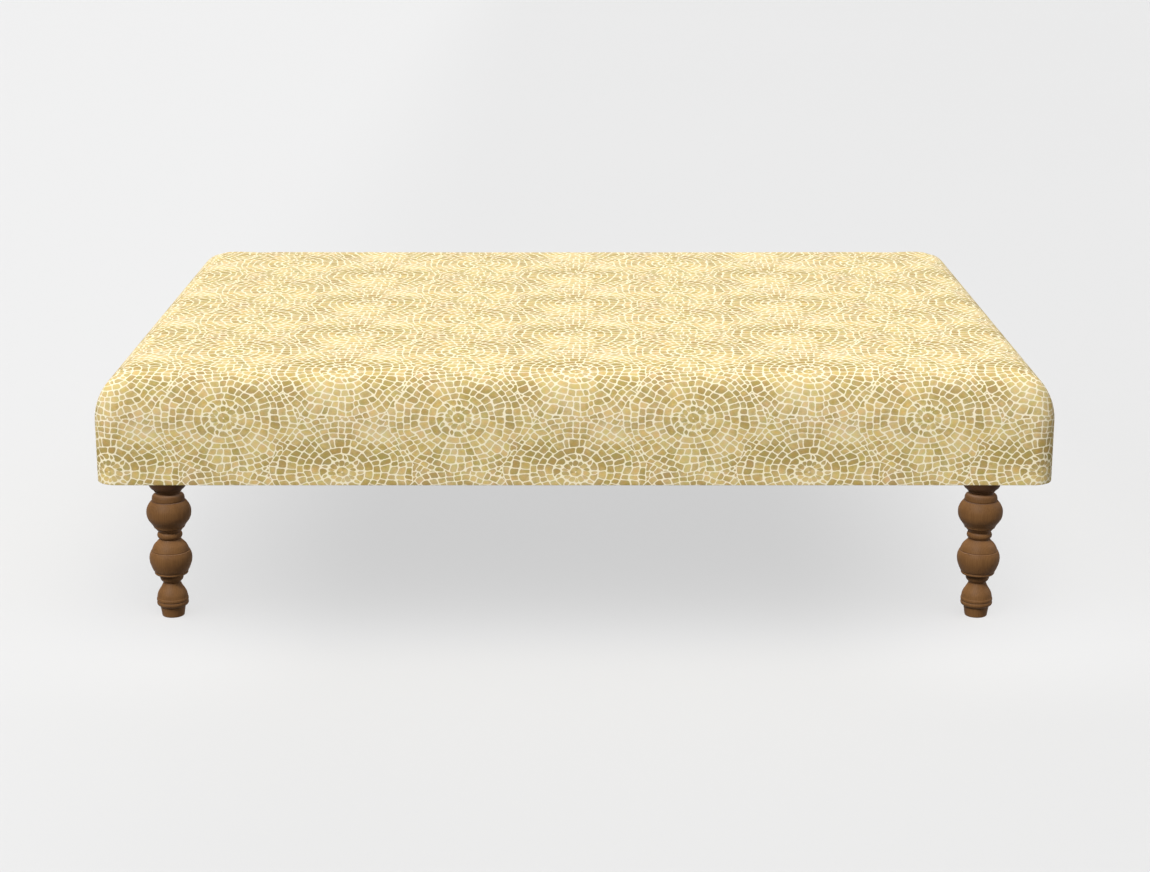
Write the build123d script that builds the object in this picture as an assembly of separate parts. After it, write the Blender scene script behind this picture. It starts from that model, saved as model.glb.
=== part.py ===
from build123d import *
import math
import os

# An upholstered footstool on four turned wooden legs, in millimetres.
# It stands on z = 0 with the origin under its centre, X along its length and its front towards -Y.

# The whole stool, over the cloth
stool_length = 1220
stool_depth = 915
leg_height = 201

# The padded box: how far the top edge rolls in and down, and how round its upright corners are
roll_in = 44
roll_down = 61
corner_radius = 28
lower_edge_cut = 0.8

# Cloth and padding, from the outside in
cover_thickness = 1.2
batting_thickness = 10
soft_gap = 0.3
foam_thickness = 50
hessian_thickness = 0.8
dust_cover_thickness = 0.6
dust_cover_margin = 12
dust_cover_lap = 1
dust_cover_slope = 6
hem_short = 3

# Webbing straps under the foam
strap_width = 90
strap_thickness = 1.5
strap_clearance = 0.3
strap_seat = 18
lengthwise_straps = 5
crosswise_straps = 7
weave_margin = 6

# Wooden frame
rail_height = 72.3
rail_thickness = 22
centre_rail_drop = 27.3
block_reach = 115
block_end = 22
block_crop = 6
block_thickness = 36

# Dowels, screws and leg fixings
dowel_radius = 5
dowel_length = 50
dowel_depth_in_rail = 15
dowel_height_shares = (0.28, 0.72)
glue_gap = 0.1
screw_radius = 2.2
screw_head_radius = 4.4
screw_head_height = 3
screw_end_distance = 14
screw_pocket_depth = 8
screw_bite = 17
pocket_clearance = 1
bolt_radius = 4
bolt_depth_in_leg = 40
bolt_stand_out = 2
bolt_clearance = 0.5
thread_clearance = 0.05
nut_flange_radius = 12
nut_flange_thickness = 1.6
nut_barrel_radius = 5.2
nut_barrel_length = 14

# Turned legs: where they stand, their leading radii, and the glides under them
leg_inset = 79
foot_radius = 14.1
shoulder_radius = 20.9
ankle_radius = 11.7
lower_ball_radius = 27.9
waist_radius = 14.4
upper_ball_radius = 29.1
throat_radius = 17
cup_radius = 27
glide_radius = 10
glide_thickness = 1.5
glide_nail_radius = 1.2
glide_nail_length = 14

# Room by which a cutting shape passes the faces it cuts
overrun = 5

# How finely round forms are cut into flats
roll_steps = 4
swell_steps = 2
ball_steps = 3
rod_sides = 8
glide_sides = 16

# Depths of each layer below the outside of the cloth
batting_outer_depth = cover_thickness + soft_gap
batting_inner_depth = batting_outer_depth + batting_thickness
frame_depth_in = batting_inner_depth + soft_gap

# The frame's outline, rounded at the corners as the padding over it is
frame_length = stool_length - 2 * frame_depth_in
frame_depth = stool_depth - 2 * frame_depth_in
frame_corner_radius = corner_radius - frame_depth_in
inner_length = frame_length - 2 * rail_thickness
inner_depth = frame_depth - 2 * rail_thickness

# Heights, from the leg's top up to the top of the cloth
frame_base = leg_height + cover_thickness
leg_top = frame_base - dust_cover_thickness
frame_top = frame_base + rail_height
hessian_base = frame_top + 2 * strap_thickness + 2 * strap_clearance
foam_base = hessian_base + hessian_thickness + soft_gap
stool_height = foam_base + foam_thickness + frame_depth_in
centre_rail_height = rail_height - centre_rail_drop
hem_inset = frame_depth_in + rail_thickness - hem_short

# How far a corner block screw's head lies from the rail: the block's depth there, less the pocket
screw_seat = block_end + screw_end_distance - screw_pocket_depth

# The leg axes, and the signs that reach the four corners from the front left one
leg_x = stool_length / 2 - leg_inset
leg_y = stool_depth / 2 - leg_inset
corners = {
    "front_left": (-1, -1),
    "front_right": (1, -1),
    "back_left": (-1, 1),
    "back_right": (1, 1),
}

UP = (Align.CENTER, Align.CENTER, Align.MIN)
DOWN = (Align.CENTER, Align.CENTER, Align.MAX)


def rounded_plan(inset, radius, z):
    """The stool's outline drawn in by an inset, lying at a height."""
    outline = RectangleRounded(stool_length - 2 * inset, stool_depth - 2 * inset, radius)
    return Pos(0, 0, z) * outline


def padded_block(depth, base):
    """The padded box's form at a depth below the cloth: upright walls and a rolled top edge."""
    radius = corner_radius - depth
    roll_base = stool_height - roll_down
    low = leg_height - overrun
    walls = extrude(rounded_plan(depth, radius, low), amount=roll_base - low)
    rings = []
    for step in range(roll_steps + 1):
        turn = math.pi / 2 * step / roll_steps
        inset = roll_in - (roll_in - depth) * math.cos(turn)
        z = roll_base + (roll_down - depth) * math.sin(turn)
        rings.append(rounded_plan(inset, radius, z))
    block = walls + loft(rings, ruled=True)
    below = Pos(0, 0, base) * Box(
        stool_length + overrun, stool_depth + overrun, stool_height, align=DOWN
    )
    return block - below


def make_cover():
    """The outer cloth: a shell over the whole box, turned under along the frame's lower edge."""
    outside = padded_block(0, leg_height)
    outside = chamfer(outside.edges().group_by(Axis.Z)[0], lower_edge_cut)
    inside = padded_block(cover_thickness, frame_base)
    mouth = Box(
        stool_length - 2 * hem_inset,
        stool_depth - 2 * hem_inset,
        cover_thickness + 2 * overrun,
    )
    return outside - inside - Pos(0, 0, frame_base) * mouth


def make_batting():
    """The soft wrap between the cloth and the frame, open below."""
    outside = padded_block(batting_outer_depth, frame_base + soft_gap)
    inside = padded_block(batting_inner_depth, leg_height)
    return outside - inside


def make_foam():
    """The foam slab, rolled at the edges like the box that it fills."""
    return padded_block(frame_depth_in, foam_base)


def make_hessian():
    """The flat sheet that keeps the foam off the webbing, its corners cut off short of the padding."""
    sheet = chamfer(plain_plan(frame_depth_in).vertices(), frame_corner_radius)
    return Pos(0, 0, hessian_base) * extrude(sheet, amount=hessian_thickness)


def rod(radius, length, sides=rod_sides):
    """A slender round piece standing on z = 0, or the bore for one, cut into flats."""
    return extrude(RegularPolygon(radius, sides), amount=length)


def plain_plan(inset):
    """The stool's outline with square corners, drawn in by an inset."""
    return Rectangle(stool_length - 2 * inset, stool_depth - 2 * inset)


def make_dust_cover():
    """Thin cloth under the frame: its edge laps the turned-under hem, and its middle rises to the frame."""
    foot_inset = hem_inset + dust_cover_lap
    head_inset = foot_inset + dust_cover_slope

    def rise(drop):
        foot = Pos(0, 0, leg_height - drop) * plain_plan(foot_inset)
        head = Pos(0, 0, frame_base - drop) * plain_plan(head_inset)
        return loft([foot, head])

    edge = extrude(plain_plan(dust_cover_margin), amount=dust_cover_thickness)
    edge = Pos(0, 0, leg_height - dust_cover_thickness) * edge
    sheet = edge + rise(0) - rise(dust_cover_thickness)
    hole = rod(bolt_radius + bolt_clearance, 2 * overrun)
    for side_x, side_y in corners.values():
        sheet -= Pos(side_x * leg_x, side_y * leg_y, frame_base - overrun) * hole
    return sheet


def strap_profile(half_span, crossings, levels):
    """A strap seen from its side: it rises over and dips under what it crosses, its ends folded double."""
    reach = strap_width / 2 + weave_margin
    fold = half_span - strap_seat
    woven = [(-fold, 0)]
    for place, level in zip(crossings, levels):
        woven.append((place - reach, level))
        woven.append((place + reach, level))
    woven.append((fold, 0))
    lifted = [(place, level + strap_thickness) for place, level in woven]
    double = 2 * strap_thickness
    under = [(-half_span, 0)] + woven + [(half_span, 0)]
    over = [(-half_span, double), (-fold, double)] + lifted + [(fold, double), (half_span, double)]
    return under + over[::-1]


def spread(count, span):
    """Places of evenly spaced straps across a span, centred on zero."""
    pitch = span / count
    return [(index - (count - 1) / 2) * pitch for index in range(count)]


def make_webbing(lengthwise):
    """One set of straps, woven over and under the other set and fixed on top of the rails."""
    across = spread(lengthwise_straps, inner_depth)
    along = spread(crosswise_straps, inner_length)
    places = across if lengthwise else along
    crossings = along if lengthwise else across
    half_span = (inner_length if lengthwise else inner_depth) / 2 + strap_seat
    lift = strap_thickness + strap_clearance
    straps = []
    for row, place in enumerate(places):
        levels = []
        for column in range(len(crossings)):
            is_over = (row + column) % 2 == (0 if lengthwise else 1)
            levels.append(lift if is_over else 0)
        side = make_face(Polyline(strap_profile(half_span, crossings, levels), close=True))
        strap = extrude(Plane.XZ * side, amount=strap_width / 2, both=True)
        if lengthwise:
            straps.append(Pos(0, place, frame_top) * strap)
        else:
            straps.append(Pos(place, 0, frame_top) * Rot(0, 0, 90) * strap)
    return straps


def upright_board(size_x, size_y, size_z):
    """A board standing on the frame's base plane, centred in plan."""
    return Pos(0, 0, frame_base) * Box(size_x, size_y, size_z, align=UP)


def make_rails():
    """The four outer rails and the one across the middle, bored for their dowels and screws."""
    envelope = extrude(rounded_plan(frame_depth_in, frame_corner_radius, 0), amount=stool_height)
    long_y = (frame_depth - rail_thickness) / 2
    short_x = (frame_length - rail_thickness) / 2
    long_rail = upright_board(frame_length, rail_thickness, rail_height)
    short_rail = upright_board(rail_thickness, inner_depth, rail_height)
    rails = {
        "front_rail": (Pos(0, -long_y, 0) * long_rail) & envelope,
        "back_rail": (Pos(0, long_y, 0) * long_rail) & envelope,
        "left_rail": Pos(-short_x, 0, 0) * short_rail,
        "right_rail": Pos(short_x, 0, 0) * short_rail,
        "centre_rail": upright_board(rail_thickness, inner_depth, centre_rail_height),
    }
    bores = [place * dowel_pin(glue_gap) for place in dowel_places()]
    bores += [place * screw_bore() for place in screw_places()]
    for name in rails:
        rails[name] = rails[name] - bores
    return rails


def dowel_places():
    """Where each dowel crosses its joint face, pointing into the long rail along +Z."""
    short_x = (frame_length - rail_thickness) / 2
    places = []
    for side_y in (-1, 1):
        for x, height in ((-short_x, rail_height), (0, centre_rail_height), (short_x, rail_height)):
            for share in dowel_height_shares:
                place = Pos(x, side_y * inner_depth / 2, frame_base + share * height)
                places.append(place * Rot(-90 * side_y, 0, 0))
    return places


def dowel_pin(clearance):
    """A dowel, or the bore for one: it runs from inside the short rail into the long one along +Z."""
    pin = rod(dowel_radius + clearance, dowel_length + 2 * clearance)
    return Pos(0, 0, dowel_depth_in_rail - dowel_length - clearance) * pin


def make_dowels():
    """The glued pins that hold the rails' butt joints."""
    return [place * dowel_pin(0) for place in dowel_places()]


def screw_places():
    """Where each corner block screw enters its rail: on the rail's inner face, pointing into it along +Z."""
    places = []
    along = block_reach - screw_end_distance
    z = frame_base + block_thickness / 2
    for side_x, side_y in corners.values():
        corner_x = side_x * inner_length / 2
        corner_y = side_y * inner_depth / 2
        places.append(Pos(corner_x - side_x * along, corner_y, z) * Rot(-90 * side_y, 0, 0))
        places.append(Pos(corner_x, corner_y - side_y * along, z) * Rot(0, 90 * side_x, 0))
    return places


def screw_shaft(clearance):
    """A corner block screw's shank, from under its head into the rail."""
    return Pos(0, 0, -screw_seat) * rod(screw_radius + clearance, screw_seat + screw_bite + clearance)


def screw_bore():
    """The hole for one corner block screw, with the pocket that its head sits in."""
    pocket = rod(screw_head_radius + pocket_clearance, 2 * block_end)
    return screw_shaft(glue_gap) + Pos(0, 0, -screw_seat - 2 * block_end) * pocket


def make_screws():
    """The screws that pull each corner block against its two rails."""
    head = Pos(0, 0, -screw_seat - screw_head_height) * rod(screw_head_radius, screw_head_height)
    return [place * (screw_shaft(0) + head) for place in screw_places()]


def make_corner_blocks():
    """Four cropped triangular blocks inside the frame's corners, which the legs are bolted to."""
    blocks = {}
    screw_bores = [place * screw_bore() for place in screw_places()]
    for name, (side_x, side_y) in corners.items():
        plan = Polygon(
            (block_crop, 0),
            (block_reach, 0),
            (block_reach, block_end),
            (block_end, block_reach),
            (0, block_reach),
            (0, block_crop),
            align=None,
        )
        turns = {"front_left": 0, "front_right": 90, "back_right": 180, "back_left": 270}
        block = Rot(0, 0, turns[name]) * extrude(plan, amount=block_thickness)
        block = Pos(side_x * inner_length / 2, side_y * inner_depth / 2, frame_base) * block
        bore = rod(nut_barrel_radius + glue_gap, block_thickness + 2 * overrun)
        block -= Pos(side_x * leg_x, side_y * leg_y, frame_base - overrun) * bore
        blocks["corner_block_" + name] = block - screw_bores
    return blocks


def make_leg_nuts():
    """Flanged nuts let into the corner blocks from above, one for each leg's bolt."""
    block_top = frame_base + block_thickness
    height = nut_barrel_length + nut_flange_thickness
    barrel = rod(nut_barrel_radius, height) - rod(bolt_radius + thread_clearance, height)
    flange = rod(nut_flange_radius, nut_flange_thickness) - rod(nut_barrel_radius, nut_flange_thickness)
    nut = barrel + Pos(0, 0, nut_barrel_length) * flange
    foot = block_top - nut_barrel_length
    return [Pos(x * leg_x, y * leg_y, foot) * nut for x, y in corners.values()]


def make_leg_bolts():
    """Headless bolts, fixed in the legs and run up through the dust cover, block and nut."""
    foot = leg_top - bolt_depth_in_leg
    nut_top = frame_base + block_thickness + nut_flange_thickness
    bolt = rod(bolt_radius, nut_top + bolt_stand_out - foot)
    return [Pos(x * leg_x, y * leg_y, foot) * bolt for x, y in corners.values()]


def leg_outline():
    """Half of a leg's outline, from the sole up: straight cuts, and arcs that swell out or hollow in."""
    turned_height = leg_top - glide_thickness
    # Radius, height share of the turned wood, bulge share of the stretch that leads there, its steps
    turning_shares = [
        (0.97 * foot_radius, 0, 0, 1),
        (1.16 * foot_radius, 0.0575, 0, 1),
        (shoulder_radius, 0.1024, 0.2, swell_steps),
        (0.945 * shoulder_radius, 0.1144, 0, 1),
        (0.985 * shoulder_radius, 0.1244, 0, 1),
        (0.8 * shoulder_radius, 0.1754, 0, 1),
        (ankle_radius, 0.2289, 0, 1),
        (1.32 * ankle_radius, 0.2749, 0.12, swell_steps),
        (0.79 * lower_ball_radius, 0.2994, 0, 1),
        (0.91 * lower_ball_radius, 0.4453, 0.145, ball_steps),
        (0.857 * lower_ball_radius, 0.4483, 0, 1),
        (waist_radius, 0.5267, 0.1, swell_steps),
        (1.035 * waist_radius, 0.5722, 0.18, swell_steps),
        (1.33 * waist_radius, 0.6037, 0, 1),
        (0.687 * upper_ball_radius, 0.6102, 0, 1),
        (0.77 * upper_ball_radius, 0.7871, 0.225, ball_steps),
        (0.711 * upper_ball_radius, 0.8191, 0, 1),
        (throat_radius, 0.8396, 0, 1),
        (0.86 * cup_radius, 0.8766, 0.1, swell_steps),
        (cup_radius, 0.935, 0, 1),
        (cup_radius, 1, 0, 1),
    ]
    points = [(0, glide_thickness)]
    for radius, height_share, bulge_share, steps in turning_shares:
        end = (radius, glide_thickness + height_share * turned_height)
        points += turned_stretch(points[-1], end, bulge_share, steps)
    points.append((0, leg_top))
    return points


def turned_stretch(start, end, bulge_share, steps):
    """Points on the arc that bows out from a chord by a share of its length, in a few straight steps."""
    if steps == 1:
        return [end]
    chord = math.dist(start, end)
    half_turn = 2 * math.atan(2 * bulge_share)
    radius = chord / 2 / math.sin(half_turn)
    along = ((end[0] - start[0]) / chord, (end[1] - start[1]) / chord)
    outward = (along[1], -along[0])
    points = []
    for step in range(1, steps + 1):
        turn = half_turn * (2 * step / steps - 1)
        forward = chord / 2 + radius * math.sin(turn)
        out = radius * (math.cos(turn) - math.cos(half_turn))
        points.append(
            (
                start[0] + along[0] * forward + outward[0] * out,
                start[1] + along[1] * forward + outward[1] * out,
            )
        )
    return points


def make_leg():
    """One turned leg on the Z axis, bored for its bolt above and for its glide's nail below."""
    leg = revolve(Plane.XZ * make_face(Polyline(leg_outline(), close=True)), axis=Axis.Z)
    bolt_hole = rod(bolt_radius + glue_gap, bolt_depth_in_leg + overrun)
    nail_hole = rod(glide_nail_radius + glue_gap, glide_nail_length + overrun)
    leg -= Pos(0, 0, leg_top - bolt_depth_in_leg - glue_gap) * bolt_hole
    return leg - Pos(0, 0, glide_thickness - overrun + glue_gap) * nail_hole


def make_legs(side_y):
    """The pair of legs at the front or at the back."""
    return [Pos(side_x * leg_x, side_y * leg_y, 0) * make_leg() for side_x in (-1, 1)]


def make_glides():
    """Round nail-on glides that lift the legs' soles off the floor."""
    disc = rod(glide_radius, glide_thickness, glide_sides)
    nail = Pos(0, 0, glide_thickness) * rod(glide_nail_radius, glide_nail_length)
    return [Pos(x * leg_x, y * leg_y, 0) * (disc + nail) for x, y in corners.values()]


def write_node(name, shape):
    """Write one node's solids to its own file."""
    solids = list(shape) if isinstance(shape, (list, tuple)) else [shape]
    export_step(Compound(children=solids), "parts/" + name + ".step")


nodes = {
    "upholstery_cover": make_cover(),
    "batting_wrap": make_batting(),
    "foam_block": make_foam(),
    "hessian_sheet": make_hessian(),
    "webbing_lengthwise": make_webbing(True),
    "webbing_crosswise": make_webbing(False),
    "rail_dowels": make_dowels(),
    "corner_block_screws": make_screws(),
    "leg_nuts": make_leg_nuts(),
    "leg_bolts": make_leg_bolts(),
    "front_legs": make_legs(-1),
    "back_legs": make_legs(1),
    "foot_glides": make_glides(),
    "dust_cover": make_dust_cover(),
}
nodes.update(make_rails())
nodes.update(make_corner_blocks())

os.makedirs("parts", exist_ok=True)
for name, shape in nodes.items():
    write_node(name, shape)
    print(name)
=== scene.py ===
# %% [markdown]
# # An upholstered footstool on turned legs
# The stool is a padded box, 1.22 m long, covered in printed cotton and carried by four turned legs.
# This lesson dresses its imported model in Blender: cloth, padding, wood and light, one piece at a time.
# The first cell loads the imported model. Everything after it is in metres, with the floor at z = 0.

# %% Load the frame
import bpy
import math
import random
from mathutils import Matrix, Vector, noise


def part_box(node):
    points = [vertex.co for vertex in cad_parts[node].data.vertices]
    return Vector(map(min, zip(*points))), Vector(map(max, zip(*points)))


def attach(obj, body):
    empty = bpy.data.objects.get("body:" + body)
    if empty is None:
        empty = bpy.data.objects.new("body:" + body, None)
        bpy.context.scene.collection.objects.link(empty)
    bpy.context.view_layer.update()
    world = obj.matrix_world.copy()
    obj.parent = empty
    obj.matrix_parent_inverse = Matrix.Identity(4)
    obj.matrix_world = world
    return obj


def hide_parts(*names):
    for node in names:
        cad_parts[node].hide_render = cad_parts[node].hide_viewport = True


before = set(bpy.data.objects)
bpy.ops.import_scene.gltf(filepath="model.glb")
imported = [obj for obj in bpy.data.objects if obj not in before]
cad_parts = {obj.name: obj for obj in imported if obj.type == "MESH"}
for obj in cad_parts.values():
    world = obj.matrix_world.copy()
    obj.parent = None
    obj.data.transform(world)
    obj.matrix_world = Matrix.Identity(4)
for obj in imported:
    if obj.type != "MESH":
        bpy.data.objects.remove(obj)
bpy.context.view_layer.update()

print("nodes:", len(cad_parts))

# %% [markdown]
# ## Sizes
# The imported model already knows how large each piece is, so the sizes are read from it. Only the way the
# box's edges are rounded has to be said again: a roll along the top, upright corners, and a tight fold below.

# %% Read the sizes
MM = 0.001
cover_low, cover_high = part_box("upholstery_cover")
half_length = cover_high.x
half_depth = cover_high.y
cover_base = cover_low.z
cover_top = cover_high.z
roll_in = 44 * MM
roll_down = 61 * MM
corner_radius = 28 * MM
hem_edge_radius = 1.2 * MM
cloth_thickness = 1.2 * MM
leg_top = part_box("front_legs")[1].z
leg_x = 531 * MM
leg_y = 378.5 * MM
print("cover:", [round(v, 4) for v in cover_low], [round(v, 4) for v in cover_high])

# %% [markdown]
# ## Camera
# The photograph was taken from the front, a little above the stool, with a long lens. Its vanishing lines
# give the height and the tilt, and the stool's length in the picture gives the distance.

# %% Place the camera
CAMERA_PLACE = (0.0005, -3.293, 1.0204)
CAMERA_TILT = 75.103
LENS_LENGTH = 72.77
SENSOR_WIDTH = 36
FARTHEST_SEEN = 200

camera_data = bpy.data.cameras.new("camera")
camera_data.lens = LENS_LENGTH
camera_data.sensor_width = SENSOR_WIDTH
camera_data.clip_end = FARTHEST_SEEN
camera = bpy.data.objects.new("camera", camera_data)
camera.location = CAMERA_PLACE
camera.rotation_euler = (math.radians(CAMERA_TILT), 0, 0)
bpy.context.scene.collection.objects.link(camera)
bpy.context.scene.camera = camera
print("camera at", tuple(round(v, 3) for v in camera.location))

# %% [markdown]
# ## Writing materials as sums
# Every finish here is made of nodes. A pattern such as a mosaic needs dozens of Math nodes, which are easier
# to read as sums. A Wire holds one value of a material, and adding or multiplying wires adds the nodes.

# %% A value inside a material
class Wire:
    """One value in a material's nodes. Sums and comparisons of wires add the Math nodes they need."""

    def __init__(self, tree, socket):
        self.tree = tree
        self.socket = socket

    def math(self, operation, *others):
        node = self.tree.nodes.new("ShaderNodeMath")
        node.operation = operation
        for socket, value in zip(node.inputs, (self,) + others):
            plug(self.tree, value, socket)
        return Wire(self.tree, node.outputs[0])

    def __add__(self, other):
        return self.math("ADD", other)

    def __sub__(self, other):
        return self.math("SUBTRACT", other)

    def __mul__(self, other):
        return self.math("MULTIPLY", other)

    def __truediv__(self, other):
        return self.math("DIVIDE", other)

    def least(self, other):
        return self.math("MINIMUM", other)

    def most(self, other):
        return self.math("MAXIMUM", other)

    def below(self, other):
        return self.math("LESS_THAN", other)

    def whole(self):
        return self.math("FLOOR")

    def part(self):
        return self.math("FRACT")

    def nearest_whole(self):
        return self.math("ROUND")

    def size(self):
        return self.math("ABSOLUTE")


def plug(tree, value, socket):
    """Feed a wire or a plain number into a socket."""
    if isinstance(value, Wire):
        tree.links.new(value.socket, socket)
    else:
        socket.default_value = value


# %% [markdown]
# A finish also needs a few ready-made helpers: a pick between two values, a blend of two colours, a smooth
# step up or down, and the random and cloudy textures that make things uneven. Each adds one node or two.

# %% Helpers for finishes
def pick(mask, when_one, when_zero):
    """One of two values, or a blend of them where the mask is between nothing and one."""
    node = mask.tree.nodes.new("ShaderNodeMix")
    node.data_type = "FLOAT"
    node.clamp_factor = True
    plug(mask.tree, mask, node.inputs[0])
    plug(mask.tree, when_zero, node.inputs[2])
    plug(mask.tree, when_one, node.inputs[3])
    return Wire(mask.tree, node.outputs[0])


def blend_colours(mask, when_one, when_zero):
    """A blend of two colours by a mask."""
    node = mask.tree.nodes.new("ShaderNodeMix")
    node.data_type = "RGBA"
    node.clamp_factor = True
    plug(mask.tree, mask, node.inputs[0])
    plug(mask.tree, when_zero, node.inputs[6])
    plug(mask.tree, when_one, node.inputs[7])
    return Wire(mask.tree, node.outputs[2])


def ramp(value, low, high):
    """A smooth step: nothing below low, one above high."""
    node = value.tree.nodes.new("ShaderNodeMapRange")
    node.interpolation_type = "SMOOTHSTEP"
    plug(value.tree, value, node.inputs[0])
    plug(value.tree, low, node.inputs[1])
    plug(value.tree, high, node.inputs[2])
    return Wire(value.tree, node.outputs[0])


def fade(value, low, high):
    """A smooth step down: one below low, nothing above high."""
    return ramp(value * -1.0, -high, -low)


# %% Points and textures for finishes
def point(tree, x=0.0, y=0.0, z=0.0):
    """Three values joined into one point."""
    node = tree.nodes.new("ShaderNodeCombineXYZ")
    for value, socket in zip((x, y, z), node.inputs):
        plug(tree, value, socket)
    return Wire(tree, node.outputs[0])


def split(where):
    """A point's three values."""
    node = where.tree.nodes.new("ShaderNodeSeparateXYZ")
    plug(where.tree, where, node.inputs[0])
    return [Wire(where.tree, socket) for socket in node.outputs]


def clouds(where, scale, detail=2.0, roughness=0.5, colour=False, fourth=None):
    """Soft cloudy unevenness, about 0 to 1 with its middle at 0.5. A fourth value is one more place in it."""
    node = where.tree.nodes.new("ShaderNodeTexNoise")
    if fourth is not None:
        node.noise_dimensions = "4D"
        plug(where.tree, fourth, node.inputs["W"])
    plug(where.tree, where, node.inputs["Vector"])
    node.inputs["Scale"].default_value = scale
    node.inputs["Detail"].default_value = detail
    node.inputs["Roughness"].default_value = roughness
    return Wire(where.tree, node.outputs[1 if colour else 0])


def chance(where):
    """A random number from 0 to 1 that is the same wherever the point is the same."""
    node = where.tree.nodes.new("ShaderNodeTexWhiteNoise")
    node.noise_dimensions = "3D"
    plug(where.tree, where, node.inputs["Vector"])
    return Wire(where.tree, node.outputs["Value"])


# %% A finish and its bumps
def new_finish(name, roughness, gloss=None):
    """A material with its surface shader ready to be fed. Gloss is how strongly a bare surface reflects."""
    material = bpy.data.materials.new(name)
    material.use_nodes = True
    shader = material.node_tree.nodes["Principled BSDF"]
    shader.inputs["Roughness"].default_value = roughness
    if gloss is not None:
        shader.inputs["Specular IOR Level"].default_value = gloss
    return material, material.node_tree, shader


def relief(tree, shader, height, depth, strength=1.0):
    """Bumps on the surface: height from 0 to 1, and its depth in metres."""
    node = tree.nodes.new("ShaderNodeBump")
    node.inputs["Distance"].default_value = depth
    node.inputs["Strength"].default_value = strength
    plug(tree, height, node.inputs["Height"])
    tree.links.new(node.outputs["Normal"], shader.inputs["Normal"])


def place_on_piece(tree):
    """Where a point is on its piece, in metres."""
    node = tree.nodes.new("ShaderNodeTexCoord")
    return Wire(tree, node.outputs["Object"])


print("materials before the first finish:", len(bpy.data.materials))

# %% [markdown]
# ## Floor
# The stool stands on a pale studio floor that fills the picture. It is one large sheet, far wider than the
# view, so that no edge of it shows. A curved backdrop would do too, but the lens looks down and sees only
# floor. A faint cloudiness keeps it from looking like a flat fill. Its paint gets a little lighter towards
# the left, as the photograph's background does, and beside the stool's two ends, where the photograph's
# shade fades out sooner than one lamp can make it.

# %% Lay the floor
def make_mesh(name, points, faces, smooth=True):
    """A new object from points and faces."""
    mesh = bpy.data.meshes.new(name)
    mesh.from_pydata([tuple(p) for p in points], [], faces)
    mesh.update()
    for face in mesh.polygons:
        face.use_smooth = smooth
    piece = bpy.data.objects.new(name, mesh)
    bpy.context.scene.collection.objects.link(piece)
    return piece


FLOOR_REACH = 40.0
floor_corners = [(x * FLOOR_REACH, y * FLOOR_REACH, 0) for x, y in ((-1, -1), (1, -1), (1, 1), (-1, 1))]
floor = make_mesh("studio_floor", floor_corners, [(0, 1, 2, 3)])
print("floor reaches", FLOOR_REACH, "m each way")

# %% Paint the floor
FLOOR_LIGHT = (0.590, 0.590, 0.591, 1)
FLOOR_DARK = (0.580, 0.580, 0.581, 1)
FLOOR_LEFT_PAINTED_LIGHT = (0.620, 0.620, 0.621, 1)
FLOOR_ENDS_PAINTED_LIGHT = (0.644, 0.644, 0.645, 1)


def make_floor_paint():
    """Pale paint with painted light: lighter to the left and beside the stool's ends. The places are in
    metres.
    """
    material, tree, shader = new_finish("floor_paint", 0.9, gloss=0.1)
    place = place_on_piece(tree)
    sideways, forward, _ = split(place)
    tone = blend_colours(clouds(place, 0.35, 1.0), FLOOR_LIGHT, FLOOR_DARK)
    # Painted light: the floor is painted lighter towards the left.
    tone = blend_colours(ramp(sideways * -1.0, 0.2, 0.9), FLOOR_LEFT_PAINTED_LIGHT, tone)
    # Painted light: lighter beside the stool's two ends, so the shade below the stool fades out sooner there.
    outside = ramp(sideways.size(), 0.27, 0.52)
    inside = fade(sideways.size(), 0.56, 0.95) * fade(forward.size(), 0.38, 0.8)
    tone = blend_colours(outside * inside, FLOOR_ENDS_PAINTED_LIGHT, tone)
    plug(tree, tone, shader.inputs["Base Color"])
    return material


floor.data.materials.append(make_floor_paint())
print("floor paint:", len(floor.data.materials[0].node_tree.nodes), "nodes")

# %% [markdown]
# ## Light
# The photograph has very even light: the floor is nearly white all over, and the shade below the stool is
# thin. Distant lamps without shadows give the even light: a low one in front on the left, a high one behind,
# and a weak one on the right. One broad overhead lamp casts the soft shade, and a weak grey sky fills the
# rest. Light that bounced off the floor would wash out the undersides of the turned legs, so the floor is
# hidden from diffuse rays. A long weak lamp on the floor, just in front of the stool, stands in for that
# light, and it will shine on the cover alone.

# %% Set the lights
def add_sun(name, strength, width, facing, height, shadow):
    """A distant lamp. Its width, its way round from the front (clockwise) and its height are in degrees."""
    facing = math.radians(facing)
    height = math.radians(height)
    level = math.cos(height)
    stands = Vector((-math.sin(facing) * level, -math.cos(facing) * level, math.sin(height)))
    data = bpy.data.lights.new(name, "SUN")
    data.energy = strength
    data.angle = math.radians(width)
    data.use_shadow = shadow
    data.cycles.cast_shadow = shadow
    lamp = bpy.data.objects.new(name, data)
    lamp.rotation_euler = (-stands).to_track_quat("-Z", "Y").to_euler()
    bpy.context.scene.collection.objects.link(lamp)
    return lamp


front_lamp = add_sun("front_lamp", strength=2.60, width=10, facing=35, height=24, shadow=False)
leg_lamp = add_sun("leg_lamp", strength=3.3, width=16, facing=33, height=48, shadow=True)
back_lamp = add_sun("back_lamp", strength=2.28, width=10, facing=170, height=52, shadow=False)
right_lamp = add_sun("right_lamp", strength=0.72, width=20, facing=-105, height=30, shadow=False)
soft_lamp = add_sun("soft_lamp", strength=0.86, width=92, facing=0, height=67, shadow=True)
print("distant lamps:", [lamp.name for lamp in (front_lamp, leg_lamp, back_lamp, right_lamp, soft_lamp)])

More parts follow.
